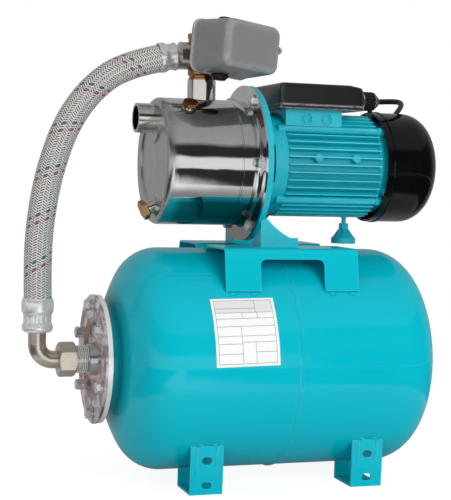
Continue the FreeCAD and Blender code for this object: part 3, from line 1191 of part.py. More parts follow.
def mains_lead():
    cord("mains_lead", LEAD_ROUTE, size("cable_radius"))
    coil_at = ("coil_x", "coil_y", "0")
    inner, outer = "(coil_middle - coil_half_width)", "(coil_middle + coil_half_width)"
    coil = turned([
        ("0", inner + " + 3"), ("0", outer + " - 3"), ("3", outer), ("coil_height - 3", outer),
        ("coil_height", outer + " - 3"), ("coil_height", inner + " + 3"), ("coil_height - 3", inner),
        ("3", inner)], coil_at, "z")
    node("lead_coil", coil)
    rear = "coil_x + coil_middle - 14 + plug_gap"
    at = (rear, "coil_y + coil_middle", "plug_radius")
    plug = turned([
        ("0", "0"), ("0", "cable_radius + 2"), ("plug_relief", "cable_radius + 5"),
        ("plug_relief + 3", "plug_radius - 2"), ("plug_relief + 6", "plug_radius"),
        ("plug_relief + plug_body", "plug_radius"), ("plug_relief + plug_body", "0")], at, "x")
    node("mains_plug", plug)
    pins = [cylinder("pin_radius", "pin_length",
                     (rear + " + plug_relief + plug_body", at[1] + " + %d * pin_spacing / 2" % side, at[2]),
                     "x") for side in (-1, 1)]
    node("plug_pins", group(*pins))


# ---- water side: brass fitting, hose, switch ---------------------------------------------

def switch_axes():
    """Out of the fitting, across and up, for a switch that is screwed round by its yaw and roll."""
    sine, cosine = tilted("switch_yaw")
    rolled, upright = tilted("switch_roll")
    forward, level = Vector(sine, -cosine, 0), Vector(cosine, sine, 0)
    return (forward, level * upright - Vector(0, 0, rolled), Vector(0, 0, upright) + level * rolled)


def from_switch(out="0", across="0", up="0"):
    """A place given in the switch's own frame."""
    place_now = ("outlet_x", "0", "switch_port_z")
    for direction, distance in zip(switch_axes(), (out, across, up)):
        place_now = along(place_now, direction, distance)
    return place_now


def five_way_fitting():
    low = "(outlet_top - thread_reach)"
    body = turned([
        ("0", "fitting_bore"), ("0", "pipe_thread"), ("thread_reach", "pipe_thread"),
        ("thread_reach", "fitting_neck + 1"), ("thread_reach + 2", "fitting_neck + 1"),
        ("thread_reach + 3", "fitting_neck"), ("fitting_neck_top - %s - 2" % low, "fitting_neck"),
        ("fitting_neck_top - %s" % low, "fitting_radius"), ("fitting_top - %s - 6" % low, "fitting_radius"),
        ("fitting_top - %s - 5" % low, "fitting_radius + 1"), ("fitting_top - %s" % low, "fitting_radius + 1"),
        ("fitting_top - %s" % low, "inlet_bore"), ("fitting_top - top_thread_depth - %s" % low, "inlet_bore"),
        ("fitting_top - top_thread_depth - %s - 2" % low, "fitting_bore")],
        ("outlet_x", "0", low), "z")
    forward = switch_axes()[0]
    hose_port = cylinder("hose_port", "fitting_radius + hose_port_reach", ("outlet_x", "0", "hose_port_z"), "-x")
    shoulder_ring = cylinder("hose_port + 2.5", "fitting_radius + 1", ("outlet_x", "0", "hose_port_z"), "-x")
    switch_port = cylinder("switch_port", "switch_port_end", from_switch(), forward)
    gauge_port = cylinder("switch_port", "fitting_radius + 4", ("outlet_x", "0", "gauge_port_z"), "y")
    bores = [cylinder("fitting_bore", "fitting_top - top_thread_depth - %s" % low, ("outlet_x", "0", low), "z"),
             cylinder("inlet_bore", "top_thread_depth + 4",
                      ("outlet_x", "0", "fitting_top - top_thread_depth"), "z"),
             cylinder("hose_port - 4", "fitting_radius + 12", ("outlet_x", "0", "hose_port_z"), "-x"),
             cylinder("5", "switch_port_end + 2", from_switch(), forward),
             cylinder("6", "fitting_radius + 6", ("outlet_x", "0", "gauge_port_z"), "y")]
    node("five_way_fitting", cut(fuse(body, hose_port, shoulder_ring, switch_port, gauge_port), *bores))


def ferrule(length):
    """Outline of a crimped ferrule from its flared foot to the mouth that takes the hose."""
    bore = "elbow_radius + running_gap"
    return [("0", bore), ("0", "ferrule_flare"), ("6", "ferrule_flare"), ("9", "ferrule_waist"),
            ("13", "ferrule_waist"), ("16", "ferrule_radius"), (length + " - 3", "ferrule_radius"),
            (length, "ferrule_flare"), (length, "ferrule_mouth"), (length + " - mouth_depth", "ferrule_mouth"),
            (length + " - mouth_depth", bore)]


def union_and_elbow():
    nut = cut(prism("nut_across", "nut_length", ("-nut_start", "0", "tank_axis"), "-x"),
              cylinder("pipe_thread + running_gap", "nut_length - nut_lip",
                       ("-nut_start", "0", "tank_axis"), "-x"),
              cylinder("elbow_radius + 0.4", "nut_length + 2", ("-nut_start", "0", "tank_axis"), "-x"))
    crown_cone = turned([("0", "0"), ("0", "nut_across / 2 + 0.6"), ("2", "nut_across / sqrt(3)"),
                         ("nut_length - 2", "nut_across / sqrt(3)"), ("nut_length", "nut_across / 2 + 0.6"),
                         ("nut_length", "0")], ("-nut_start", "0", "tank_axis"), "-x")
    node("union_nut", common(nut, crown_cone))
    collar = turned(ring_steps("nipple_end", "nipple_end + collar_depth", "elbow_bore", "pipe_thread - 0.4"),
                    TANK_AT, "-x")
    rise = "ferrule_start + lower_ferrule_length - mouth_depth"
    turn_x, turn_z = "(-elbow_drop + elbow_bend)", "(tank_axis + elbow_bend)"
    solids = []
    for radius in ("elbow_radius", "elbow_bore"):
        straight = cylinder(radius, "elbow_drop - elbow_bend - nipple_end", (turn_x, "0", "tank_axis"), "x")
        bend = torus("elbow_bend", radius, (turn_x, "0", turn_z), "-y")
        quarter = box("elbow_bend * 3", "elbow_bend * 3", "elbow_bend * 3",
                      ("%s - elbow_bend * 3" % turn_x, "-elbow_bend * 1.5", "%s - elbow_bend * 3" % turn_z))
        upright = cylinder(radius, "%s - %s" % (rise, turn_z), ("-elbow_drop", "0", turn_z), "z")
        solids.append(fuse(straight, common(bend, quarter), upright))
    node("hose_elbow", cut(fuse(solids[0], collar), solids[1]))
    node("lower_ferrule", turned(ferrule("lower_ferrule_length"), ("-elbow_drop", "0", "ferrule_start"), "z"))


def swivel_and_hose():
    port_x = "outlet_x - fitting_radius"
    node("swivel_nut", turned([
        ("0", "hose_port + 0.1"), ("0", "swivel_radius"), ("swivel_length", "swivel_radius"),
        ("swivel_length", "elbow_radius + 0.5"), ("swivel_length - 1.5", "elbow_radius + 0.5"),
        ("swivel_length - 1.5", "hose_port + 0.1")],
        (port_x + " - swivel_start", "0", "hose_port_z"), "-x"))
    sine, cosine = tilted("ferrule_tilt")
    direction = Vector(-cosine, 0, -sine)
    pivot = (port_x + " - swivel_length + 4", "0", "hose_port_z")
    steps = ferrule("upper_ferrule_length")
    tail = [("0", "elbow_bore - 2"), ("0", "hose_port - 0.7"), ("1.5", "hose_port - 0.7"),
            ("1.5", "elbow_bore + 0.5"), ("ferrule_neck", "elbow_bore + 0.5"),
            ("ferrule_neck", "ferrule_flare")] + [("%s + ferrule_neck" % x, y) for x, y in steps[2:10]]
    tail.append(("upper_ferrule_length - mouth_depth + ferrule_neck", "elbow_bore - 2"))
    node("upper_ferrule", turned(tail, along(pivot, direction, "0"), direction))
    cord("braided_hose", HOSE_ROUTE, size("hose_radius"), size("hose_bore"))


def turn_with_switch(thing):
    """Turn a piece drawn along X, Y and Z into the switch's own frame."""
    thing.Placement = FreeCAD.Placement(thing.Placement.Base, Rotation(*switch_axes(), "XYZ"))
    return thing


def switch_box(out, across, up, length, width, height):
    made = box(length, width, height, from_switch(out, across, up))
    return turn_with_switch(made)


def pressure_switch():
    forward, side, up_axis = switch_axes()
    plate = switch_box("switch_plate_at", "switch_across - switch_half_width + 2", "-switch_half_height + 2",
                       "switch_plate", "2 * switch_half_width - 4", "2 * switch_half_height - 4")
    housing = cylinder("diaphragm_radius", "switch_plate_at - switch_port_end - 2",
                       from_switch("switch_port_end + 2"), forward)
    hexagon = prism("switch_hex_across", "2.2", from_switch("switch_port_end"), forward)
    plunger = cylinder("5", "3", from_switch("switch_plate_at + switch_plate"), forward)
    plate_top = "switch_plate_at + switch_plate"
    ears = [switch_box(plate_top, "pivot_across - 4", up, "pivot_height + 4 - (%s)" % plate_top, "8", "ear_sheet")
            for up in ("-lever_half - ear_sheet - 0.3", "lever_half + 0.3")]
    pin = cylinder("pivot_radius", "2 * (lever_half + ear_sheet + 0.3)",
                   from_switch("pivot_height", "pivot_across", "-lever_half - ear_sheet - 0.3"), up_axis)
    stud = cylinder("spring_stud", "spring_length + 14", from_switch(plate_top), forward)
    base = cut(fuse(plate, housing, hexagon, plunger, *ears),
               cylinder("pivot_radius + running_gap", "4 * lever_half",
                        from_switch("pivot_height", "pivot_across", "-2 * lever_half"), up_axis),
               cylinder("spring_stud + running_gap", "10", from_switch(plate_top + " - 1"), forward))
    node("switch_base", base)
    seat = "(pivot_height + lever_sheet / 2 + end_gap + spring_wire)"
    nut_at = seat + " + spring_length + spring_wire + 0.1"
    nut = prism("9", "4", from_switch(nut_at), forward)
    node("switch_pins", group(pin, fuse(stud, nut)))
    lever = fuse(
        switch_box("pivot_height - lever_sheet / 2", "pivot_across", "-lever_half",
                   "lever_sheet", "lever_tip - pivot_across", "2 * lever_half"),
        cylinder("lever_barrel", "2 * lever_half", from_switch("pivot_height", "pivot_across", "-lever_half"), up_axis))
    node("switch_lever", cut(
        lever, cylinder("pivot_radius + running_gap", "4 * lever_half",
                        from_switch("pivot_height", "pivot_across", "-2 * lever_half"), up_axis),
        cylinder("stud_hole", "20", from_switch("pivot_height - 10"), forward)))
    helix = bind(doc.addObject("Part::Helix", "Coils"), Pitch="spring_pitch", Height="spring_length",
                 Radius="spring_radius")
    wire = bind(doc.addObject("Part::Circle", "Wire"), Radius="spring_wire")
    wire.Placement = FreeCAD.Placement(Vector(), Rotation(Vector(1, 0, 0), 90))
    wire.setExpression("Placement.Base.x", cells("spring_radius"))
    spring = doc.addObject("Part::Sweep", "Spring")
    spring.Sections, spring.Spine, spring.Solid, spring.Frenet = [wire], (helix, []), True, True
    place(spring, from_switch(seat), AXES["z"], forward)
    node("switch_spring", spring)
    node("switch_contacts", switch_box(plate_top, "contact_across", "-contact_half",
                                       "contact_height", "contact_width", "2 * contact_half"))
    switch_cover()


def switch_cover():
    """Drafted hood over the switch, with a grommet above and below and its cap screw."""
    forward, side, up_axis = switch_axes()
    hoods = []
    for inset, extra in (("0", "0"), ("switch_wall", "switch_wall")):
        body = padded("YZ", [rounded_rectangle("switch_half_width - " + inset, "switch_half_height - " + inset,
                                               "switch_corner - " + inset)],
                      "switch_depth - " + extra, taper="-(switch_draft)")
        if inset == "0":
            doc.recompute()

            def end_edge(edge):
                return edge.BoundBox.XMin > size("switch_depth") - 0.01

            fillet(body, "switch_round", end_edge)
        place(body, from_switch("switch_rim", "switch_across"), AXES["x"], "x")
        hoods.append(turn_with_switch(body))
    holes = [cylinder("grommet_radius", "20", from_switch("grommet_at", "0", up), axis)
             for up, axis in (("switch_half_height - 10", up_axis), ("-switch_half_height + 10", -up_axis))]
    screw_across = "(switch_across + switch_half_width - (cap_screw_at - switch_rim) * tan(switch_draft))"
    screw_hole = cylinder("2 + running_gap", "10", from_switch("cap_screw_at", screw_across + " - 6"), side)
    node("switch_cover", cut(hoods[0], hoods[1], *holes, screw_hole))
    wall_here = "(switch_half_height - (grommet_at - switch_rim) * tan(switch_draft))"
    grommets = []
    for sign, axis in ((1, up_axis), (-1, -up_axis)):
        grommets.append(turned([
            ("-switch_wall - 2", "0"), ("-switch_wall - 2", "grommet_radius - 0.1"),
            ("0.5", "grommet_radius - 0.1"), ("0.5", "grommet_flange"), ("2.5", "grommet_flange"),
            ("grommet_rise", "grommet_radius - 1"), ("grommet_rise", "0")],
            from_switch("grommet_at", "0", "%d * %s" % (sign, wall_here)), axis))
    node("switch_grommets", group(*grommets))
    screw = turned([("-7", "0"), ("-7", "2"), ("0.4", "2"), ("0.4", "cap_screw_radius"),
                    ("3.5", "cap_screw_radius"), ("6", "cap_screw_radius - 2"), ("6", "0")],
                   from_switch("cap_screw_at", screw_across), side)
    node("switch_cap_screw", screw)


# ---- build, check and write --------------------------------------------------------------

def build():
    fill_sheet()
    tank_shells()
    tank_opening()
    air_valve()
    for depth in ("front", "rear"):
        for side, name in ((-1, "left"), (1, "right")):
            corner_foot("%s_%s_foot" % (depth, name), side, depth)
    tank_label()
    saddle()
    pump_casing()
    pump_sockets()
    port_plugs()
    pump_inside()
    impeller()
    motor_adapter()
    pump_bolts()
    motor_housing()
    rear_shield()
    motor_screws()
    stator()
    shaft_group()
    fan()
    fan_cover()
    rear_foot()
    terminal_box()
    cable_gland()
    mains_lead()
    five_way_fitting()
    union_and_elbow()
    swivel_and_hose()
    pressure_switch()
    doc.recompute()


def write():
    """Stop on any failed object or bad shape, then write one file a sub-part."""
    for thing in doc.Objects:
        if "Invalid" in thing.State or "Error" in thing.State:
            raise ValueError("failed: %s (%s) %s" % (thing.Name, thing.Label, thing.State))
    for thing in nodes:
        shape = thing.Shape
        if shape.isNull() or not shape.isValid() or not shape.Solids:
            raise ValueError("bad shape: " + thing.Label)
    os.makedirs("parts", exist_ok=True)
    for thing in nodes:
        thing.Shape.exportStep("parts/%s.step" % thing.Label)
    print(len(nodes), "sub-parts written")


build()
write()
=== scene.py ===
"""Looks of the water booster set: finishes, hose braid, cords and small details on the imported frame."""

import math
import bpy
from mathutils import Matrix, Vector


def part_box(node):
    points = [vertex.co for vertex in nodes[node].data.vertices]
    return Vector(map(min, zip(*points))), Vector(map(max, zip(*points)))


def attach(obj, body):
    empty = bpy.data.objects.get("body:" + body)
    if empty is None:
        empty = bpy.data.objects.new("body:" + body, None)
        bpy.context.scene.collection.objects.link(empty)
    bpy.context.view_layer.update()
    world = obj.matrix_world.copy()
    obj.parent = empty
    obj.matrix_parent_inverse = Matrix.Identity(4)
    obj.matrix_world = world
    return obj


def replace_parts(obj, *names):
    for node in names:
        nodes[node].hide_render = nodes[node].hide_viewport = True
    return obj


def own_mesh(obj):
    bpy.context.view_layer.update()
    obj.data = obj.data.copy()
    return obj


bl_info = {
    "name": "Water booster set",
    "version": (1, 0, 0),
    "blender": (4, 5, 0),
    "location": "3D View > Sidebar > Booster",
    "description": "Finishes, hose, lead and details of a water booster set",
    "category": "Object",
}

import bmesh
import bpy
from bpy.props import FloatProperty, FloatVectorProperty, IntProperty, PointerProperty
from mathutils import Matrix, Vector, noise

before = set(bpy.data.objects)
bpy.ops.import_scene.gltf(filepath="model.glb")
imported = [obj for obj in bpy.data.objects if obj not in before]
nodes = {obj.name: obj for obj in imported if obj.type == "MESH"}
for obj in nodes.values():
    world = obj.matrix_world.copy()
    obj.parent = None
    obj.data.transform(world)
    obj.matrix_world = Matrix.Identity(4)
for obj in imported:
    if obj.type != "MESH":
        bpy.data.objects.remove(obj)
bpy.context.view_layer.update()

HOSE_ROUTE = [(-147.7, 0, 531.1), (-192, 0, 520.5), (-232, 0, 492), (-264, 0, 447), (-284, 0, 388),
              (-294, 0, 332), (-297.5, 0, 280), (-296, 0, 228)]
LEAD_ROUTE = [(136, -35, 487), (160, -32, 489), (181, -13, 489), (194, 14, 485), (200, 44, 476),
              (195, 74, 456), (172, 97, 429), (135, 108, 403), (94, 112, 378), (53, 117, 350),
              (31, 131, 308), (29, 151, 258), (32, 163, 200), (37, 162, 142), (42, 154, 88),
              (40, 147, 52), (33, 138, 18), (12, 131, 3.9)]


def mm(*numbers):
    """Millimetres to metres, one number or a point."""
    return numbers[0] / 1000 if len(numbers) == 1 else Vector(numbers) / 1000


def tone(red, green, blue):
    """A colour as it is mixed on a screen, 0 to 255, as the linear colour that shaders take."""
    def linear(part):
        part /= 255
        return part / 12.92 if part <= 0.04045 else ((part + 0.055) / 1.055) ** 2.4
    return linear(red), linear(green), linear(blue)


def shade(colour, share, lift=0.0):
    """A colour made darker or lighter by a share, with a little white."""
    return tuple(min(1, share * part + lift) for part in colour)


# Heights of the shaft and of the vessel's axis, and the vessel's radius, in millimetres
SHAFT_Z, TANK_Z, TANK_RADIUS = 403, 154, 140
SHAFT, TANK = Vector((0, 0, mm(SHAFT_Z))), Vector((0, 0, mm(TANK_Z)))


# Finishes


class Wire:
    """An output in a finish's nodes. Sums written with it add their Math nodes."""

    def __init__(self, finish, socket):
        self.finish, self.socket = finish, socket

    def math(self, operation, *values):
        return self.finish.add("Math", {"operation": operation}, dict(enumerate(values)))

    def __add__(self, other):
        return self.math("ADD", self, other)

    def __radd__(self, other):
        return self.math("ADD", other, self)

    def __sub__(self, other):
        return self.math("SUBTRACT", self, other)

    def __rsub__(self, other):
        return self.math("SUBTRACT", other, self)

    def __mul__(self, other):
        return self.math("MULTIPLY", self, other)

    def __rmul__(self, other):
        return self.math("MULTIPLY", other, self)


class Finish:
    """The node tree of one material or of the world."""

    def __init__(self, name, owner=None):
        self.material = owner or bpy.data.materials.new(name)
        self.material.use_nodes = True
        self.tree = self.material.node_tree
        self.tree.nodes.clear()

    def add(self, kind, settings=None, values=None, output=0):
        node = self.tree.nodes.new("ShaderNode" + kind)
        for key, value in (settings or {}).items():
            if key == "stops":
                ramp = node.color_ramp
                while len(ramp.elements) < len(value):
                    ramp.elements.new(0.5)
                for element, (position, colour) in zip(ramp.elements, value):
                    element.position, element.color = position, (*colour, 1)
            else:
                setattr(node, key, value)
        for key, value in (values or {}).items():
            socket = node.inputs[key]
            if isinstance(value, Wire):
                self.tree.links.new(value.socket, socket)
            elif socket.type == "RGBA":
                socket.default_value = (*value, 1) if len(value) == 3 else value
            else:
                socket.default_value = value
        return Wire(self, node.outputs[output]) if node.outputs else node

    def vector(self, operation, *values, output=0):
        return self.add("VectorMath", {"operation": operation}, dict(enumerate(values)), output)

    def place(self, stretch=(1, 1, 1), turn=(0, 0, 0), centre=(0, 0, 0)):
        """Object coordinates in metres, moved so that centre is nought, then turned and stretched."""
        point = self.vector("SUBTRACT", self.add("TexCoord", output="Object"), tuple(centre))
        return self.mapped(point, stretch, turn)

    def mapped(self, point, stretch, turn=(0, 0, 0)):
        return self.add("Mapping", None, {"Vector": point, "Scale": stretch, "Rotation": turn})

    def from_axis(self, centre):
        """Distance in metres from the line along X through centre."""
        flat = self.vector("MULTIPLY", self.place(centre=centre), (0, 1, 1))
        return self.vector("LENGTH", flat, output="Value")

    def axis(self, point, name):
        return self.add("SeparateXYZ", None, {0: point}, output=name)

    def noise(self, size, detail=3.0, rough=0.5, point=None, output=0):
        """Cloudy noise with lumps about size metres across."""
        return self.add("TexNoise", None, {
            "Vector": point or self.place(), "Scale": 1 / size, "Detail": detail, "Roughness": rough}, output)

    def fade(self, value, low, high, start=0.0, end=1.0):
        """Start below low and end above high, with a soft change between them."""
        return self.add("MapRange", {"interpolation_type": "SMOOTHSTEP"}, {
            "Value": value, "From Min": low, "From Max": high, "To Min": start, "To Max": end})

    def mix(self, factor, first, second, blend="MIX"):
        return self.add("Mix", {"data_type": "RGBA", "blend_type": blend},
                        {0: factor, 6: first, 7: second}, output=2)

    def ramp(self, value, *stops):
        """The colour that each stop gives at its place along a value, blended between them."""
        return self.add("ValToRGB", {"stops": stops}, {"Fac": value})

    def ray(self, kind):
        """One on rays of that kind and nought on others."""
        return self.add("LightPath", output=f"Is {kind} Ray")

    def light(self, kind, colour, strength=1.0):
        """Even light: a Background for the world or an Emission for a surface."""
        return self.add(kind, None, {"Color": colour, "Strength": strength})

    def either(self, factor, first, second):
        """The first shader where factor is nought and the second where it is one."""
        return self.add("MixShader", None, {0: factor, 1: first, 2: second})

    def bump(self, height, depth, under=None):
        values = {"Height": height, "Distance": depth, "Strength": 1.0}
        if under:
            values["Normal"] = under
        return self.add("Bump", None, values)

    def skin(self, **values):
        """The surface shader with the given sockets, to the material's output."""
        values = {key.replace("_", " "): value for key, value in values.items()}
        shader = self.add("BsdfPrincipled", None, values)
        self.add("OutputMaterial", None, {"Surface": shader})
        return self.material


def paint():
    return tuple(bpy.context.scene.booster_looks.paint)


def edge_wear_and_highlight(f, radius, low=0.02, high=0.16):
    """Nought on flat faces, and up to one along sharp edges, broken up by noise: the mask for wear and a painted
    highlight along edges.
    """
    soft = f.add("Bevel", {"samples": 4}, {"Radius": radius})
    hard = f.add("NewGeometry", output="Normal")
    along = f.vector("DOT_PRODUCT", soft, hard, output="Value")
    return f.fade(1 - along, low, high) * f.fade(f.noise(0.006, 3.0), 0.3, 0.6, 0.35, 1)


def sheet_paint(f):
    """Glossy paint on pressed sheet: faint orange peel, slow waves and a few hairline marks."""
    colour = paint()
    slow = f.noise(0.09, 2.0)
    peel = f.noise(0.0022, 2.0)
    speck = f.fade(f.noise(0.0011, 1.0), 0.70, 0.78)
    hair = f.noise(0.0016, 1.0, point=f.place((0.02, 1, 1), (0.3, 0.2, 0.7)))
    hair = f.fade(hair, 0.76, 0.82) * f.fade(f.noise(0.03, 2.0), 0.55, 0.65)
    # Painted shade: the paint is darkened in a band beside the neck ring, for the ring's dark reflection and its
    # shadow on the dome.
    painted_ring_shade = f.fade(f.axis(f.place(), "X"), -0.2080, -0.1960, 1, 0)
    base = f.mix(slow, shade(colour, 0.94), shade(colour, 1.05))
    base = f.mix(speck * 0.22, base, shade(colour, 0.45))
    base = f.mix(hair * 0.4, base, tone(150, 210, 216))
    base = f.mix(painted_ring_shade * 0.7, base, shade(colour, 0.3))
    # Wear and a painted highlight: the paint is paler along the sheet's edges.
    base = f.mix(edge_wear_and_highlight(f, 0.0010) * 0.6, base, tone(140, 214, 220))
    height = peel * 0.25 + f.noise(0.018, 1.0) * 1.0
    return f.skin(Base_Color=base, Roughness=0.40 + 0.10 * slow, Coat_Weight=0.55 - 0.3 * hair,
                  Coat_Roughness=0.05, Specular_IOR_Level=0.03, Normal=f.bump(height, 0.00012))


def cast_paint(f, ribbed):
    """The same paint over cast metal: sandier and duller, with wear and a painted highlight along edges, a
    painted highlight on the ribs' tips and painted shade between the ribs.
    """
    colour = paint()
    sand = f.noise(0.0016, 4.0, 0.6)
    slow = f.noise(0.03, 3.0)
    chip = f.fade(f.noise(0.0028, 3.0), 0.72, 0.76)
    base = f.mix(slow, shade(colour, 0.84), shade(colour, 1.08, 0.004))
    base = f.mix(f.fade(sand, 0.25, 0.45, 1, 0) * 0.35, base, shade(colour, 0.5))
    base = f.mix(chip * 0.3, base, tone(120, 150, 152))
    # Wear and a painted highlight: the paint is paler along the edges.
    base = f.mix(edge_wear_and_highlight(f, 0.0007) * 0.5, base, tone(110, 208, 218))
    if ribbed:
        away = f.from_axis(SHAFT)
        # Painted shade in the grooves between the ribs, and a painted highlight on the ribs' tips.
        base = f.mix(f.fade(away, 0.0588, 0.0640, 1, 0) * 0.2, base, shade(colour, 0.25))
        base = f.mix(f.fade(away, 0.0660, 0.0668) * 0.5, base, tone(96, 214, 224))
    return f.skin(Base_Color=base, Roughness=0.36 + 0.2 * sand, Coat_Weight=0.45, Coat_Roughness=0.15,
                  Normal=f.bump(sand + slow * 0.6, 0.00035))


def drawn_steel(f):
    """Polished stainless sheet, with a brushed end face and faint waves from the drawing press."""
    point = f.place(centre=SHAFT)
    x = f.axis(f.place(), "X")
    face = f.fade(x, -0.1530, -0.1400, 1, 0)
    # Painted shade: the underside of the casing is darkened towards a brownish grey, for the shaded parts below
    # that it reflects.
    shaded_belly = f.fade(f.axis(point, "Z"), -0.052, -0.042, 1, 0) * f.fade(x, -0.15, -0.13)
    smear = f.noise(0.03, 3.0, 0.6)
    spots = f.noise(0.0022, 3.0, 0.6)
    streak = f.noise(0.004, 3.0, 0.6, point=f.mapped(point, (1, 1, 0.12)))
    streak = f.mix(f.fade(streak, 0.2, 0.8), tone(160, 162, 164), tone(196, 197, 198))
    base = f.mix(smear, tone(196, 197, 199), tone(226, 226, 226))
    base = f.mix(face * 0.85, base, streak)
    base = f.mix(shaded_belly * 0.85, base, tone(118, 108, 106))
    rough = 0.05 + 0.05 * smear + 0.03 * f.fade(spots, 0.5, 0.75) + 0.20 * face
    wave = f.noise(0.035, 1.0, point=f.place((0.6, 1, 1)))
    brush = f.noise(0.0012, 2.0, point=f.mapped(point, (1, 1, 0.05)))
    normal = f.bump(wave * (1 - 0.8 * face) + 0.08 * f.noise(0.012, 1.0), 0.0007)
    return f.skin(Base_Color=base, Metallic=1.0, Roughness=rough, Normal=f.bump(brush * face, 0.00001, normal))


def metal(f, dark, light, low, high, grain=0.0018, depth=0.000012, metallic=1.0):
    """Plain metal whose colour and gloss drift a little, with a fine grain."""
    drift = f.noise(0.02, 2.0, 0.5)
    return f.skin(Base_Color=f.mix(drift, dark, light), Metallic=metallic, Roughness=low + (high - low) * drift,
                  Normal=f.bump(f.noise(grain, 3.0, 0.6), depth))


def turned_steel(f):
    """Machined rim: fine turning lines round the axis, with a broad shine."""
    turned = f.noise(0.0006, 2.0, point=f.place((1, 0.01, 0.01)))
    drift = f.noise(0.014, 3.0, 0.6)
    base = f.mix(drift, tone(226, 224, 220), tone(252, 252, 250))
    return f.skin(Base_Color=base, Metallic=0.35, Roughness=0.20 + 0.10 * drift, Normal=f.bump(turned, 0.00003))


def crimped_steel(f):
    """Crimped stainless tube with small dents and a dull shine."""
    dents = f.noise(0.005, 2.0)
    fine = f.noise(0.0009, 2.0)
    base = f.mix(f.noise(0.009, 3.0), tone(226, 227, 227), tone(250, 251, 251))
    return f.skin(Base_Color=base, Metallic=0.6, Roughness=0.24 + 0.08 * fine,
                  Normal=f.bump(dents + 0.1 * fine, 0.00002))


def braided_wire(f, dark, light, metallic):
    """Six round wires across the width of a band, with painted shade between the wires, at the band's edges and
    where it dips under the others.
    """
    point = f.add("TexCoord", output="UV")
    across, weave = f.axis(point, "X"), f.axis(point, "Y")
    wires = across.math("ABSOLUTE", across.math("SINE", across * (6 * math.pi)))
    over = weave.math("COSINE", weave * math.tau)
    edge = across.math("ABSOLUTE", across - 0.5) * 2
    base = f.mix(wires, shade(dark, 0.6), f.mix(f.noise(0.004, 2.0), dark, light))
    base = f.mix(f.fade(edge, 0.5, 0.9), base, (0.026, 0.023, 0.019))
    base = f.mix(f.fade(over, -0.9, -0.2, 1, 0), base, (0.035, 0.031, 0.026))
    return f.skin(Base_Color=base, Metallic=metallic, Roughness=0.22 + 0.1 * f.noise(0.003, 2.0),
                  Coat_Weight=0.7, Coat_Roughness=0.14, Normal=f.bump(wires, 0.00016))


def stacked_sheet(f):
    """Stacked electrical sheet: fine lines along the axis."""
    lines = f.noise(0.0007, 1.0, point=f.place((1, 0.02, 0.02)))
    base = f.mix(lines, tone(92, 94, 98), tone(150, 152, 156))
    return f.skin(Base_Color=base, Metallic=0.9, Roughness=0.45, Normal=f.bump(lines, 0.0001))


def chromate(f):
    """Yellow-pink chromate over zinc, which changes hue in patches, with a greyer rim and boss."""
    patch = f.noise(0.022, 3.0, 0.6)
    fine = f.noise(0.002, 3.0, 0.6)
    away = f.from_axis(TANK) + 0.004 * f.noise(0.02, 2.0)
    rim = f.mix(f.fade(patch, 0.38, 0.62), tone(136, 120, 138), tone(244, 232, 232))
    groove = f.fade(away, 0.0420, 0.0445) * f.fade(away, 0.0530, 0.0550, 1, 0)
    boss = f.fade(away, 0.0215, 0.0250, 1, 0)
    hue = f.ramp(patch, (0.34, tone(120, 104, 122)), (0.42, tone(226, 186, 196)), (0.50, tone(244, 204, 158)),
                 (0.57, tone(150, 122, 146)), (0.66, tone(252, 250, 242)))
    hue = f.mix(f.fade(away, 0.0525, 0.0555), hue, rim)
    hue = f.mix(groove * 0.55, hue, tone(92, 80, 84))
    hue = f.mix(boss, hue, tone(196, 202, 206))
    return f.skin(Base_Color=hue, Metallic=0.8, Roughness=0.15 + 0.10 * fine, Normal=f.bump(fine, 0.00002))


def plastic(f, colour, rough, grain, depth, coat=0.0, shine=0.5):
    """Moulded plastic or rubber with the mould's grain."""
    drift = 0.12
    slow = f.noise(0.025, 3.0)
    return f.skin(Base_Color=f.mix(slow, shade(colour, 1 - drift), shade(colour, 1 + drift, 0.001)),
                  Roughness=rough + 0.12 * slow, Normal=f.bump(f.noise(grain, 2.0), depth),
                  Specular_IOR_Level=shine, Coat_Weight=coat, Coat_Roughness=0.05)


def box_plastic(f):
    """Black moulded plastic that shines on its faces, with wear and a painted highlight pale along its edges."""
    slow = f.noise(0.03, 2.0)
    base = f.mix(slow, tone(15, 16, 16), tone(24, 25, 25))
    # Wear and a painted highlight: pale along the edges.
    base = f.mix(edge_wear_and_highlight(f, 0.0028, 0.008, 0.06) * 0.6, base, tone(196, 196, 196))
    return f.skin(Base_Color=base, Roughness=0.20 + 0.08 * slow, Normal=f.bump(f.noise(0.0007, 2.0), 0.00002))


def hood_plastic(f):
    """Grey moulded hood with a satin shine, with wear and a painted highlight pale along its edges."""
    slow = f.noise(0.03, 2.0)
    base = f.mix(slow, tone(119, 120, 121), tone(129, 130, 131))
    # Wear and a painted highlight: pale along the rounded edges.
    base = f.mix(edge_wear_and_highlight(f, 0.0060, 0.002, 0.03) * 0.85, base, tone(206, 207, 208))
    return f.skin(Base_Color=base, Roughness=0.30 + 0.06 * slow, Coat_Weight=0.3, Coat_Roughness=0.08,
                  Normal=f.bump(f.noise(0.0011, 2.0), 0.00002))


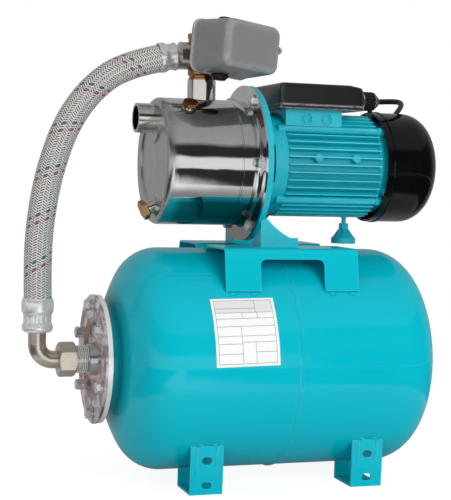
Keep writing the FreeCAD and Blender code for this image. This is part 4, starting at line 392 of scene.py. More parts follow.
def label_stock(f):
    """White film with a printed frame, ruled rows and blank fields."""
    point = f.add("TexCoord", output="UV")
    across, down = f.axis(point, "X"), 1 - f.axis(point, "Y")
    left, right, top, bottom = 0.045, 0.955, 0.035, 0.96
    soft, half = 0.002, 0.0045
    rows = [(at, left, right) for at in (0.225, 0.315, 0.43, 0.57, bottom)]
    rows += [(0.16, left, 0.68), (0.66, 0.42, right), (0.68, left, 0.42), (0.80, 0.63, right),
             (0.82, left, 0.42)]
    columns = [(left, top, bottom), (right, top, bottom), (0.68, top, 0.225), (0.46, 0.225, 0.315),
               (0.70, 0.225, 0.315), (0.42, 0.43, bottom), (0.63, 0.66, bottom)]

    def within(value, low, high):
        return f.fade(value, low - soft, low + soft) * f.fade(value, high - soft, high + soft, 1, 0)

    def rule(value, at, other, low, high):
        return within(value, at - half, at + half) * within(other, low, high)

    ink = rule(down, top, across, left, right)
    for at, low, high in rows:
        ink = ink.math("MAXIMUM", ink, rule(down, at, across, low, high))
    for at, low, high in columns:
        ink = ink.math("MAXIMUM", ink, rule(across, at, down, low, high))
    heading = within(across, left, right) * within(down, top, 0.225)
    base = f.mix(f.noise(0.001, 2.0), tone(238, 240, 238), tone(247, 248, 247))
    base = f.mix(heading * 0.8, base, tone(222, 220, 226))
    base = f.mix(ink * (0.55 + 0.35 * f.noise(0.004, 2.0)), base, tone(96, 92, 100))
    return f.skin(Base_Color=base, Roughness=0.34, Coat_Weight=0.4, Coat_Roughness=0.12,
                  Normal=f.bump(f.noise(0.012, 2.0), 0.0002))


# Each finish's name, with the function that makes its skin and the values that it takes
SKINS = {
    "vessel_paint": (sheet_paint,),
    "cast_paint": (cast_paint, False),
    "housing_paint": (cast_paint, True),
    "drawn_steel": (drawn_steel,),
    "ring_steel": (turned_steel,),
    "crimp_steel": (crimped_steel,),
    "passivated_zinc": (chromate,),
    "laminations": (stacked_sheet,),
    "nickel": (metal, tone(196, 186, 172), tone(222, 214, 202), 0.22, 0.30, 0.0018, 0.000012, 0.92),
    "socket_steel": (metal, tone(200, 194, 186), tone(226, 222, 216), 0.11, 0.15),
    "brass": (metal, tone(150, 110, 66), tone(196, 150, 98), 0.20, 0.28),
    "bolt_zinc": (metal, tone(206, 208, 210), tone(238, 240, 242), 0.2, 0.28, 0.0012, 0.000012, 0.65),
    "screw_black": (metal, tone(30, 30, 32), tone(52, 52, 54), 0.35, 0.45),
    "plain_steel": (metal, tone(150, 151, 153), tone(190, 191, 192), 0.25, 0.45),
    "copper": (metal, tone(170, 92, 58), tone(205, 128, 88), 0.25, 0.4, 0.0008, 0.0001),
    "braid_steel": (braided_wire, tone(248, 246, 241), tone(255, 255, 253), 0.3),
    "tracer_red": (braided_wire, tone(168, 66, 76), tone(214, 150, 152), 0.0),
    "tracer_blue": (braided_wire, tone(52, 84, 118), tone(136, 162, 182), 0.0),
    "box_black": (box_plastic,),
    "switch_grey": (hood_plastic,),
    "label_stock": (label_stock,),
    "hose_core": (plastic, tone(92, 89, 84), 0.4, 0.001, 0.00004),
    "fan_cover_black": (plastic, tone(7, 7, 9), 0.07, 0.004, 0.00002, 0.0, 0.3),
    "rubber_black": (plastic, tone(20, 20, 21), 0.5, 0.0009, 0.00006),
    "lead_black": (plastic, tone(18, 18, 19), 0.38, 0.0012, 0.00003),
    "switch_dark": (plastic, tone(52, 54, 56), 0.45, 0.001, 0.00005),
    "foot_plastic": (plastic, tone(14, 168, 186), 0.34, 0.0015, 0.00005, 0.2),
    "pale_plastic": (plastic, tone(212, 208, 196), 0.4, 0.0015, 0.00004),
    "capacitor_white": (plastic, tone(226, 226, 222), 0.35, 0.0015, 0.00004),
    "bladder_rubber": (plastic, tone(64, 36, 30), 0.6, 0.002, 0.0001),
    "ceramic": (plastic, tone(40, 40, 42), 0.3, 0.0015, 0.00002),
    "impeller_brown": (plastic, tone(84, 66, 48), 0.42, 0.002, 0.00006),
}
FINISHES = {}


def finish(name):
    """The material of that name, made the first time that it is asked for."""
    if name not in FINISHES:
        maker, *values = SKINS[name]
        FINISHES[name] = maker(Finish(name), *values)
    return FINISHES[name]


NODE_FINISHES = {
    "vessel_paint": ["tank_left_half", "tank_right_half", "front_left_foot", "front_right_foot",
                     "rear_left_foot", "rear_right_foot", "pump_saddle"],
    "cast_paint": ["motor_adapter", "rear_shield", "terminal_box_base"],
    "housing_paint": ["motor_housing"],
    "drawn_steel": ["pump_casing"],
    "socket_steel": ["casing_sockets"],
    "nickel": ["union_nut", "hose_elbow", "swivel_nut"],
    "brass": ["port_plugs", "five_way_fitting"],
    "bolt_zinc": ["tank_cover_bolts", "pump_bolts", "switch_cap_screw", "switch_pins"],
    "screw_black": ["motor_screws"],
    "ring_steel": ["tank_neck_ring"],
    "crimp_steel": ["lower_ferrule", "upper_ferrule"],
    "plain_steel": ["seal_plate", "motor_shaft", "motor_bearings", "switch_lever", "switch_spring",
                    "air_valve", "plug_pins"],
    "passivated_zinc": ["tank_cover"],
    "laminations": ["stator_core", "rotor_core"],
    "copper": ["stator_windings", "switch_contacts"],
    "fan_cover_black": ["fan_cover"],
    "box_black": ["terminal_box_tray", "terminal_box_cover", "cable_gland"],
    "rubber_black": ["casing_oring", "switch_grommets", "mains_plug", "lead_coil"],
    "lead_black": ["mains_lead"],
    "switch_grey": ["switch_cover"],
    "switch_dark": ["switch_base"],
    "foot_plastic": ["rear_foot", "cooling_fan"],
    "pale_plastic": ["terminal_block"],
    "capacitor_white": ["run_capacitor"],
    "bladder_rubber": ["tank_bladder"],
    "ceramic": ["seal_seat", "seal_rotor"],
    "impeller_brown": ["impeller", "diffuser"],
    "label_stock": ["tank_label"],
}


# Meshes


def link(name, data):
    """A new object with that data, in the scene."""
    thing = bpy.data.objects.new(name, data)
    bpy.context.scene.collection.objects.link(thing)
    return thing


def add_piece(name, mesh, *materials, angle=35, closed=True):
    """A mesh made with bmesh becomes a piece of the frame with those finishes."""
    data = bpy.data.meshes.new(name)
    if closed:
        bmesh.ops.remove_doubles(mesh, verts=mesh.verts, dist=1e-6)
        bmesh.ops.recalc_face_normals(mesh, faces=mesh.faces)
    for face in mesh.faces:
        face.smooth = True
    mesh.to_mesh(data)
    mesh.free()
    data.set_sharp_from_angle(angle=math.radians(angle))
    for material in materials:
        data.materials.append(finish(material))
    piece = link(name, data)
    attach(piece, "frame")
    return piece


def lathe(profile, steps=48, turn=math.tau, rise=0):
    """Spin an outline of (height, radius) in millimetres round Z. A thread rises at each step."""
    mesh = bmesh.new()
    chain = [mesh.verts.new(mm(radius, 0, height)) for height, radius in profile]
    sides = [mesh.edges.new(pair) for pair in zip(chain, chain[1:])]
    bmesh.ops.spin(mesh, geom=chain + sides, axis=(0, 0, 1), cent=(0, 0, 0), angle=turn, steps=steps,
                   dvec=mm(0, 0, rise), use_merge=turn == math.tau)
    bmesh.ops.remove_doubles(mesh, verts=mesh.verts, dist=1e-7)
    return mesh


def cap(mesh, **limits):
    """Close the open ends of a mesh."""
    bmesh.ops.holes_fill(mesh, edges=[edge for edge in mesh.edges if edge.is_boundary], **limits)


def six_flats(mesh, across):
    """Cut a spun shape down to a hexagon."""
    for number in range(6):
        side = Vector((math.cos(number * math.pi / 3), math.sin(number * math.pi / 3), 0))
        cut = bmesh.ops.bisect_plane(mesh, geom=mesh.verts[:] + mesh.edges[:] + mesh.faces[:],
                                     plane_co=side * mm(across / 2), plane_no=side, clear_outer=True)
        edges = [item for item in cut["geom_cut"] if isinstance(item, bmesh.types.BMEdge)]
        bmesh.ops.holes_fill(mesh, edges=edges)
    return mesh


def slab(size, middle=(0.5, 0, 0.5)):
    """A block of that size, with its centre at a place given as shares of the size."""
    mesh = bmesh.new()
    bmesh.ops.create_cube(mesh, size=1)
    bmesh.ops.translate(mesh, vec=middle, verts=mesh.verts)
    bmesh.ops.scale(mesh, vec=size, verts=mesh.verts)
    return mesh


def soften(mesh, edges, radius, segments=2):
    """Round edges to a radius in metres."""
    bmesh.ops.bevel(mesh, geom=edges, offset=radius, offset_type="OFFSET", segments=segments, profile=0.5,
                    affect="EDGES", material=-1)


def aim(towards):
    """The turn that takes Z to a direction."""
    return Vector(towards).to_track_quat("Z", "Y").to_matrix()


def degrees_to(direction, out):
    """How far X turns, round a Z that points out, to face a direction."""
    seen = aim(out).inverted() @ Vector(direction)
    return math.degrees(math.atan2(seen.y, seen.x))


def moved(part, at, towards=(0, 0, 1), turn=0.0):
    """A mesh moved to a place with its Z along a direction, turned by degrees round it."""
    part.transform(Matrix.Translation(at) @ aim(towards).to_4x4() @ Matrix.Rotation(math.radians(turn), 4, "Z"))
    return part


def put(mesh, part, *place):
    """Add a part to a mesh, where it is or moved to a place."""
    if place:
        moved(part, *place)
    data = bpy.data.meshes.new("part")
    part.to_mesh(data)
    part.free()
    mesh.from_mesh(data)
    bpy.data.meshes.remove(data)


def hex_bolt(mesh, at, towards, length, turn, washers=0.0):
    """An M8 bolt with a chamfered head, over a flat and a split washer where there is room for them."""
    across, head, shank = 13, 5.3, 4
    flat, corner, top = across / 2, across / math.sqrt(3), washers + head
    profile = [(-length, 0), (-length, shank - 0.6), (-length + 0.6, shank), (washers, shank),
               (washers, corner * 0.96), (washers + 0.4, corner + 0.02), (top - 1.3, corner + 0.02),
               (top - 0.2, flat - 0.1), (top, flat - 0.5), (top, flat - 1.7), (top - 0.3, flat - 2.0),
               (top - 0.3, 0)]
    put(mesh, six_flats(lathe(profile), across), at, towards, turn)
    if washers:
        plate = [(0, 0), (0, 7.7), (0.3, 8), (1.3, 8), (1.6, 7.7), (1.6, 0)]
        split = [(1.65, 4.2), (1.65, 6.3), (1.9, 6.6), (washers - 0.25, 6.6), (washers, 6.3), (washers, 4.2),
                 (1.65, 4.2)]
        put(mesh, lathe(plate), at, towards)
        ring = lathe(split, 44, math.tau * 0.985)
        cap(ring)
        put(mesh, ring, at, towards, turn + 40)


def flutes(mesh, low, high, count, depth):
    """Press grooves along a spun sleeve between two heights."""
    for vert in mesh.verts:
        if mm(low) < vert.co.z < mm(high):
            groove = max(0.0, math.cos(count * math.atan2(vert.co.y, vert.co.x)))
            shrink = 1 - mm(depth) * groove / max(vert.co.xy.length, 1e-6)
            vert.co.x, vert.co.y = vert.co.x * shrink, vert.co.y * shrink


def follow(points):
    """The smooth line along a cord's route, as closely spaced points with their distance along it."""
    probe = add_curve("probe", points, 0, None)
    line = bpy.data.meshes.new_from_object(probe)
    places = [vert.co.copy() for vert in line.vertices]
    bpy.data.meshes.remove(line)
    bpy.data.objects.remove(probe)
    run = [0.0]
    for first, second in zip(places, places[1:]):
        run.append(run[-1] + (second - first).length)
    return places, run


def add_curve(name, points, radius, material, sides=6):
    """A round cord along a smooth spline with those points."""
    curve = bpy.data.curves.new(name, "CURVE")
    curve.dimensions = "3D"
    spline = curve.splines.new("NURBS")
    spline.points.add(len(points) - 1)
    for spot, point in zip(spline.points, points):
        spot.co = (*point, 1)
    spline.order_u = 3
    spline.use_endpoint_u = True
    curve.resolution_u = 12
    curve.bevel_depth = radius
    curve.bevel_resolution = sides
    curve.use_fill_caps = True
    if material:
        curve.materials.append(finish(material))
    return link(name, curve)


# Settings


def metres(name, description, default, **limits):
    """A setting in metres."""
    return FloatProperty(name=name, description=description, unit="LENGTH", default=default, **limits)


class BoosterLooks(bpy.types.PropertyGroup):
    """Colours that a user may want to change."""

    paint: FloatVectorProperty(name="Paint", description="Colour of the vessel, its saddle and the motor",
                               subtype="COLOR", size=3, min=0, max=1, default=tone(0, 184, 202))


class BoosterHose(bpy.types.PropertyGroup):
    """Sizes of the hose and its braid."""

    radius: metres("Radius", "Radius at the middle of the braid", 0.01685, min=0.005)
    pitch: metres("Pitch", "Length in which a band goes once round", 0.057, min=0.01)
    carriers: IntProperty(name="Carriers", description="Bands in each direction", default=18, min=6)
    band: metres("Band width", "Width of one band of wires", 0.00265, min=0.0005)


class BoosterLabel(bpy.types.PropertyGroup):
    """Size and place of the label on the vessel."""

    left: metres("Left edge", "Where the label starts along the vessel", -0.109)
    width: metres("Width", "Width of the label", 0.080, min=0.01)
    height: metres("Height", "Height of the label round the vessel", 0.0843, min=0.01)
    tilt: FloatProperty(name="Tilt", description="How far the label is turned", unit="ROTATION",
                        default=math.radians(1.3))


class BoosterSwitch(bpy.types.PropertyGroup):
    """Size of the pressure switch's hood."""

    width: metres("Width", "Width of the hood at its rim", 0.090)
    height: metres("Height", "Height of the hood at its rim", 0.064)
    depth: metres("Depth", "Depth of the hood above its rim", 0.065)
    corner: metres("Corner", "Radius of the corners", 0.012)
    round: metres("Round", "Radius round the closed end", 0.008)


class BoosterStage(bpy.types.PropertyGroup):
    """Floor and light."""

    floor: metres("Floor radius", "Radius of the round floor", 2.1, min=1)
    ambient: FloatProperty(name="Ambient", description="Strength of the even light from all sides",
                           default=0.46, min=0, max=2)
    key: FloatProperty(name="Key lamp", description="Power of the large lamp by the camera", unit="POWER",
                       default=39, min=0)


# Operators


def grey(level):
    return (level,) * 3


WHITE, DARK, BACKDROP = grey(1), grey(0.03), grey(0.42)


class BOOSTER_OT_stage(bpy.types.Operator):
    """Make the floor, the studio light and the camera"""

    bl_idname = "booster.stage"
    bl_label = "Stage"

    def execute(self, context):
        stage = context.scene.booster_stage
        context.scene.view_settings.view_transform = "Standard"
        self.world(context.scene, stage.ambient)
        self.floor(stage.floor)
        self.lamp("key_lamp", (0.7, -2.5, 1.1), (0, 0, 0.25), 1.6, stage.key)
        self.lamp("fill_lamp", (-2.2, -1.4, 0.8), (0, 0, 0.25), 1.5, 0.3 * stage.key)
        self.lamp("top_lamp", (0.2, -0.3, 2.4), (0, 0, 0.2), 1.8, 0.2 * stage.key)
        self.lamp("rear_lamp", (0.2, 2.6, 1.2), (0, 0, 0.25), 1.6, 0.35 * stage.key)
        heading, dip, roll = -18.322, 3.036, 1.437
        turn = (Matrix.Rotation(math.radians(heading), 4, "Z") @ Matrix.Rotation(math.radians(90 - dip), 4, "X")
                @ Matrix.Rotation(math.radians(roll), 4, "Z"))
        camera = link("camera", bpy.data.cameras.new("camera"))
        camera.data.lens = 93.86
        camera.data.clip_start = 0.05
        camera.matrix_world = Matrix.Translation((-0.58038, -1.588, 0.38002)) @ turn
        context.scene.camera = camera
        return {"FINISHED"}

    def world(self, scene, ambient):
        """White to the camera, even light for the surfaces, and a studio with dark panels in reflections."""
        scene.world = scene.world or bpy.data.worlds.new("studio")
        f = Finish("studio", scene.world)
        direction = f.add("TexCoord", output="Generated")
        up, side, back = f.axis(direction, "Z"), f.axis(direction, "X"), f.axis(direction, "Y")
        seen = f.ramp(up * 0.5 + 0.5, (0.42, WHITE), (0.553, WHITE), (0.585, DARK), (0.72, DARK),
                      (0.775, grey(0.44)), (0.93, grey(0.38)), (1.0, grey(0.27)))
        level = f.fade(up, 0.5, 0.6, 1, 0)
        seen = f.mix(level * f.fade(side, 0.345, 0.385), seen, DARK)
        seen = f.mix(level * f.fade(back, -0.3, 0.3), seen, BACKDROP)
        even = f.light("Background", f.mix(f.fade(up, 0.2, 0.95), WHITE, grey(0.45)), ambient)
        shader = f.either(f.ray("Glossy"), even, f.light("Background", seen))
        lens = f.ray("Camera")
        clear = lens.math("MAXIMUM", lens, f.ray("Transmission"))
        shader = f.either(clear, shader, f.light("Background", WHITE))
        f.add("OutputWorld", None, {"Surface": shader})

    def floor(self, radius):
        """A round pale floor, which shows pools of dark and light to reflections."""
        mesh = bmesh.new()
        bmesh.ops.create_circle(mesh, cap_ends=True, radius=radius, segments=96)
        data = bpy.data.meshes.new("floor")
        mesh.to_mesh(data)
        mesh.free()
        f = Finish("floor_white")
        point = f.place()
        away = f.vector("LENGTH", point, output="Value")
        side, back = f.axis(point, "X"), f.axis(point, "Y")
        seen = f.ramp(away * (1 / radius), (0.0, grey(0.12)), (0.1, grey(0.22)), (0.18, grey(0.5)),
                      (0.222, grey(0.75)), (0.24, DARK), (0.86, DARK), (0.95, WHITE))
        patch = f.fade(side, -0.6, -0.35) * f.fade(side, -0.05, 0.15, 1, 0) * f.fade(back, -0.5, -0.3, 1, 0)
        seen = f.mix(patch, seen, grey(1.3))
        seen = f.mix(f.fade(back, 0.0, 0.4), seen, BACKDROP)
        plain = f.add("BsdfDiffuse", None, {"Color": f.mix(f.noise(0.4, 2.0), grey(0.86), grey(0.9))})
        front = f.either(0.22, f.light("Emission", WHITE, 1.17), plain)
        shader = f.either(f.ray("Camera"), plain, front)
        shader = f.either(f.ray("Glossy"), shader, f.light("Emission", seen))
        f.add("OutputMaterial", None, {"Surface": shader})
        data.materials.append(f.material)
        link("floor", data)

    def lamp(self, name, at, target, size, power):
        """A round soft lamp that doesn't show in reflections."""
        data = bpy.data.lights.new(name, "AREA")
        data.shape = "DISK"
        data.size, data.energy = size, power
        lamp = link(name, data)
        towards = Vector(target) - Vector(at)
        lamp.matrix_world = Matrix.Translation(at) @ towards.to_track_quat("-Z", "Y").to_matrix().to_4x4()
        lamp.visible_glossy = False


class BOOSTER_OT_finishes(bpy.types.Operator):
    """Give every part of the frame its finish"""

    bl_idname = "booster.finishes"
    bl_label = "Finishes"

    def execute(self, context):
        for name, members in NODE_FINISHES.items():
            for member in members:
                for slot in nodes[member].material_slots:
                    slot.material = finish(name)
        return {"FINISHED"}


class BOOSTER_OT_hose(bpy.types.Operator):
    """Make the braided hose"""

    bl_idname = "booster.hose"
    bl_label = "Braided hose"

    # Bands with a coloured tracer: the way they wind, their number and their finish
    tracers = {(1, 13): 1, (1, 16): 2}

    def execute(self, context):
        sizes = context.scene.booster_hose
        points = [mm(*point) for point in HOSE_ROUTE]
        under_bands = 0.0006
        core = add_curve("hose_core", points, sizes.radius - under_bands, "hose_core", 12)
        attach(core, "frame")
        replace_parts(core, "braided_hose")
        mesh = bmesh.new()
        mesh.loops.layers.uv.new("UVMap")
        spine = self.spine(points, sizes)
        for way in (1, -1):
            for number in range(sizes.carriers):
                put(mesh, self.band(sizes, spine, way, number))
        woven = add_piece("hose_braid", mesh, "braid_steel", "tracer_red", "tracer_blue", closed=False, angle=60)
        mm(*HOSE_ROUTE[0])
        return {"FINISHED"}

    def spine(self, points, sizes):
        """Even steps along the hose, each with its distance, place, direction and upper side."""
        places, run = follow(points)
        end_gap, steps_per_crossing = 0.0006, 3
        start, end = end_gap, run[-1] - end_gap
        steps = round((end - start) / sizes.pitch * 2 * sizes.carriers * steps_per_crossing)
        spine = []
        piece = 0
        for step in range(steps + 1):
            here = start + (end - start) * step / steps
            while run[piece + 1] < here:
                piece += 1
            first, second = places[piece], places[piece + 1]
            share = (here - run[piece]) / (run[piece + 1] - run[piece])
            ahead = (second - first).normalized()
            before = (first - places[piece - 1]).normalized() if piece else ahead
            tangent = before.lerp(ahead, share).normalized()
            spine.append((here, first.lerp(second, share), tangent, tangent.cross(Vector((0, 1, 0)))))
        return spine

    def band(self, sizes, spine, way, number):
        """A band that winds one way round the hose, over two and under two of the others."""
        lift, crown = 0.00032, 0.00016
        lean = math.atan2(math.tau * sizes.radius, sizes.pitch)
        steps = len(spine) - 1
        start, end = spine[0][0], spine[-1][0]

        def passed(here):
            return 2 * number + way * here / sizes.pitch * 2 * sizes.carriers

        band = bmesh.new()
        band.loops.layers.uv.new("UVMap")
        bmesh.ops.create_grid(band, x_segments=2, y_segments=steps, size=1, calc_uvs=True)
        for vert in band.verts:
            here, middle, tangent, upward = spine[round((vert.co.y + 1) / 2 * steps)]
            across = vert.co.x
            turn = way * math.tau * here / sizes.pitch + math.tau * number / sizes.carriers
            over = way * math.cos(math.pi / 2 * (passed(here) - 0.5))
            out = Vector((0, math.cos(turn), 0)) + upward * math.sin(turn)
            around = Vector((0, -math.sin(turn), 0)) + upward * math.cos(turn)
            sideways = around * math.cos(lean) - tangent * way * math.sin(lean)
            reach = sizes.radius + lift * over + (crown if abs(across) < 0.5 else -crown)
            vert.co = middle + out * reach + sideways * across * sizes.band / 2
        paths = band.loops.layers.uv.active
        for face in band.faces:
            face.material_index = self.tracers.get((way, number), 0)
            for loop in face.loops:
                here = start + (end - start) * loop[paths].uv.y
                loop[paths].uv.y = (passed(here) - 0.5) / 4 + (0 if way == 1 else 0.5)
        return band


class BOOSTER_OT_fittings(bpy.types.Operator):
    """Make the crimped sleeves and the pipe thread"""

    bl_idname = "booster.fittings"
    bl_label = "Hose fittings"

    def execute(self, context):
        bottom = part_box("lower_ferrule")[0][2]
        sleeve = lathe([(0, 11.2), (0, 13.5), (0.6, 15.2), (2, 17.6), (4, 18.9), (7, 19.2), (9.5, 18.6),
                        (11.2, 17.7), (12.2, 17.2), *((height, 17.2) for height in range(13, 22, 2)),
                        (22.5, 17.3), (24, 18.2), (25.5, 19.3), (28, 19.7), (36, 19.7), (38.5, 19.5),
                        (40.5, 18.9), (42.2, 18.4), (43, 17.9), (42.8, 17.3), (41.5, 16.9), (36, 16.9),
                        (36, 11.2), (0, 11.2)], 128)
        flutes(sleeve, 12.5, 22, 16, 0.75)
        piece = add_piece("lower_sleeve", moved(sleeve, (-0.296, 0, bottom)), "crimp_steel", angle=50)
        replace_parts(piece, "lower_ferrule")
        sleeve = lathe([(0, 9.2), (0, 12.4), (1.5, 12.6), (9, 12.6), (9.4, 15.2), (10.2, 16.9), (12, 17.7),
                        (13.6, 17.5), (14.8, 16.8), (15.6, 16.5),
                        *((height, 16.5) for height in range(17, 22, 2)), (22, 16.7), (23.2, 17.6),
                        (24.6, 18.6), (28.5, 18.9), (31, 18.6), (32.5, 18.1), (33, 17.7), (32.8, 17.2),
                        (31.8, 16.9), (26, 16.9), (26, 9.2), (0, 9.2)], 128)
        slope = math.radians(8)
        sleeve = moved(sleeve, mm(-117, 0, 536), (-math.cos(slope), 0, -math.sin(slope)))
        piece = add_piece("upper_sleeve", sleeve, "bolt_zinc", angle=50)
        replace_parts(piece, "upper_ferrule")
        self.thread()
        return {"FINISHED"}

    def thread(self):
        """Ridges of the pipe thread between the cover and the union nut."""
        pitch, turns, steps = 2.309, 7, 40
        ridge = [(0, 16.4), (0.45, 16.62), (1.0, 17.35), (1.3, 17.35), (1.85, 16.62), (2.3, 16.4)]
        mesh = lathe(ridge, steps * turns, math.tau * turns, pitch / steps)
        cap(mesh, sides=6)
        add_piece("pipe_thread", moved(mesh, mm(-232.2, 0, TANK_Z), (-1, 0, 0)), "ring_steel", angle=25)


class BOOSTER_OT_bolts(bpy.types.Operator):
    """Make the bolts of the tank cover, the pump flange and the pump's legs"""

    bl_idname = "booster.bolts"
    bl_label = "Bolts"

    def execute(self, context):
        mesh = bmesh.new()
        self.circle(mesh, -227, TANK_Z, 67, 7, 17, length=9, washers=3.4)
        piece = add_piece("cover_bolts", mesh, "bolt_zinc")
        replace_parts(piece, "tank_cover_bolts")
        mesh = bmesh.new()
        self.circle(mesh, -37.6, SHAFT_Z, 90, 30, 23, length=10)
        for side in (-1, 1):
            hex_bolt(mesh, mm(-8, 55 * side, 306.7), (0, 0, 1), length=18, turn=12 * side)
            nut = lathe([(0, 3.9), (0, 7.0), (0.5, 7.53), (5.5, 7.53), (6, 7.0), (6, 3.9), (0, 3.9)])
            put(mesh, six_flats(nut, 13), mm(-8, 55 * side, 296.7), (0, 0, -1), 8)
        piece = add_piece("body_bolts", mesh, "bolt_zinc")
        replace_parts(piece, "pump_bolts")
        return {"FINISHED"}

    def circle(self, mesh, x, axis, radius, first, turn, **sizes):
        """Six bolts on a circle round an axis, from a first angle, each turned on from the one before."""
        for number in range(6):
            angle = math.radians(first + 60 * number)
            at = Vector((mm(x), mm(radius) * math.sin(angle), mm(axis) + mm(radius) * math.cos(angle)))
            hex_bolt(mesh, at, (-1, 0, 0), turn=turn * number, **sizes)


class BOOSTER_OT_welds(bpy.types.Operator):
    """Make the painted weld beads on the vessel"""

    bl_idname = "booster.welds"
    bl_label = "Welds"

    def execute(self, context):
        saddle, feet = (-79, -52, 50, 77), (-114.5, -96.5, 96.5, 114.5)
        mesh = bmesh.new()
        seed = 0
        for side in (-1, 1):
            for row, across, up, length, width in ((saddle, 107.2, 1, 9, 6), (feet, 105.6, -1, 8, 4.5)):
                for x in row:
                    seed += 1
                    self.blob(mesh, x, side * across, up, length, width, seed)
        add_piece("vessel_welds", mesh, "vessel_paint", angle=60)
        seam = lathe([(-3.2, 140.2), (-2.4, 140.9), (-1.2, 141.45), (0, 141.65), (1.2, 141.45), (2.4, 140.9),
                      (3.2, 140.2)], 360)
        for vert in seam.verts:
            around = math.atan2(vert.co.y, vert.co.x)
            lift = 0.00022 * math.sin(140 * around) + 0.0005 * noise.noise(vert.co * 60)
            share = 1 + max(0.0, 1 - abs(vert.co.z) / mm(3.3)) * lift / vert.co.xy.length
            vert.co.x, vert.co.y = vert.co.x * share, vert.co.y * share
        add_piece("vessel_seam", moved(seam, TANK, (1, 0, 0)), "vessel_paint", angle=60)
        return {"FINISHED"}

    def blob(self, mesh, x, y, up, length, width, seed):
        """A lump of weld on the round of the vessel: a flattened ball with an uneven skin."""
        ball = bmesh.new()
        bmesh.ops.create_icosphere(ball, subdivisions=3, radius=1)
        for vert in ball.verts:
            vert.co *= 1 + 0.16 * noise.noise(vert.co * 1.8 + Vector((seed, 0, 0)))
        bmesh.ops.scale(ball, vec=mm(length / 2, width / 2, 2.2), verts=ball.verts)
        height = up * math.sqrt(TANK_RADIUS ** 2 - y ** 2)
        put(mesh, ball, mm(x, y, TANK_Z + height), (0, y, height))


class BOOSTER_OT_label(bpy.types.Operator):
    """Make the label place with its ruled, empty table"""

    bl_idname = "booster.label"
    bl_label = "Label"

    def execute(self, context):
        sizes = context.scene.booster_label
        above_middle, clear, film = 7, 0.35, 0.0003
        radius, reach = mm(TANK_RADIUS), mm(TANK_RADIUS + clear)
        mesh = bmesh.new()
        mesh.loops.layers.uv.new("UVMap")
        bmesh.ops.create_grid(mesh, x_segments=4, y_segments=24, size=0.5, calc_uvs=True)
        bmesh.ops.scale(mesh, vec=(sizes.width, sizes.height, 1), verts=mesh.verts)
        bmesh.ops.rotate(mesh, matrix=Matrix.Rotation(sizes.tilt, 3, "Z"), verts=mesh.verts)
        middle = math.asin(above_middle / TANK_RADIUS) + sizes.height / 2 / radius
        for vert in mesh.verts:
            angle = middle + vert.co.y / radius
            vert.co = Vector((sizes.left + sizes.width / 2 + vert.co.x, -reach * math.cos(angle),
                              mm(TANK_Z) + reach * math.sin(angle)))
        bmesh.ops.recalc_face_normals(mesh, faces=mesh.faces)
        if mesh.faces[0].normal.y > 0:
            bmesh.ops.reverse_faces(mesh, faces=mesh.faces)
        bmesh.ops.solidify(mesh, geom=mesh.faces[:], thickness=-film)
        piece = add_piece("label_film", mesh, "label_stock", closed=False)
        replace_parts(piece, "tank_label")
        return {"FINISHED"}


class BOOSTER_OT_lead(bpy.types.Operator):
    """Make the mains lead and its coil"""

    bl_idname = "booster.lead"
    bl_label = "Mains lead"

    def execute(self, context):
        points = [mm(*point) for point in LEAD_ROUTE] + self.coil()
        points += [mm(-17, 211.4, 11.3), mm(-6, 210.4, 13), mm(4, 208, 16), mm(13, 206.5, 17)]
        lead = add_curve("lead", points, 0.0035, "lead_black")
        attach(lead, "frame")
        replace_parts(lead, "mains_lead", "lead_coil")
        mm(*LEAD_ROUTE[0])
        return {"FINISHED"}

    def coil(self):
        """Points round the coil: out, in, up onto the lower turns and out again."""
        centre, steps = mm(-20, 168, 0), 16
        outer, inner, low, high = 42.9, 35.6, 3.7, 11.1
        start, end = -78, -258 - 3 * 360
        count = round((start - end) / 360 * steps)

        def after(turns, begin):
            """From nought to one in the quarter turn after so many turns."""
            return min(max(4 * (turns - begin), 0), 1)

        points = []
        for step in range(count + 1):
            angle = math.radians(start + (end - start) * step / count)
            turns = step / steps
            reach = outer + (inner - outer) * (after(turns, 0.75) - after(turns, 2.35))
            height = low + (high - low) * after(turns, 1.75)
            points.append(centre + mm(reach * math.cos(angle), reach * math.sin(angle), height))
        return points


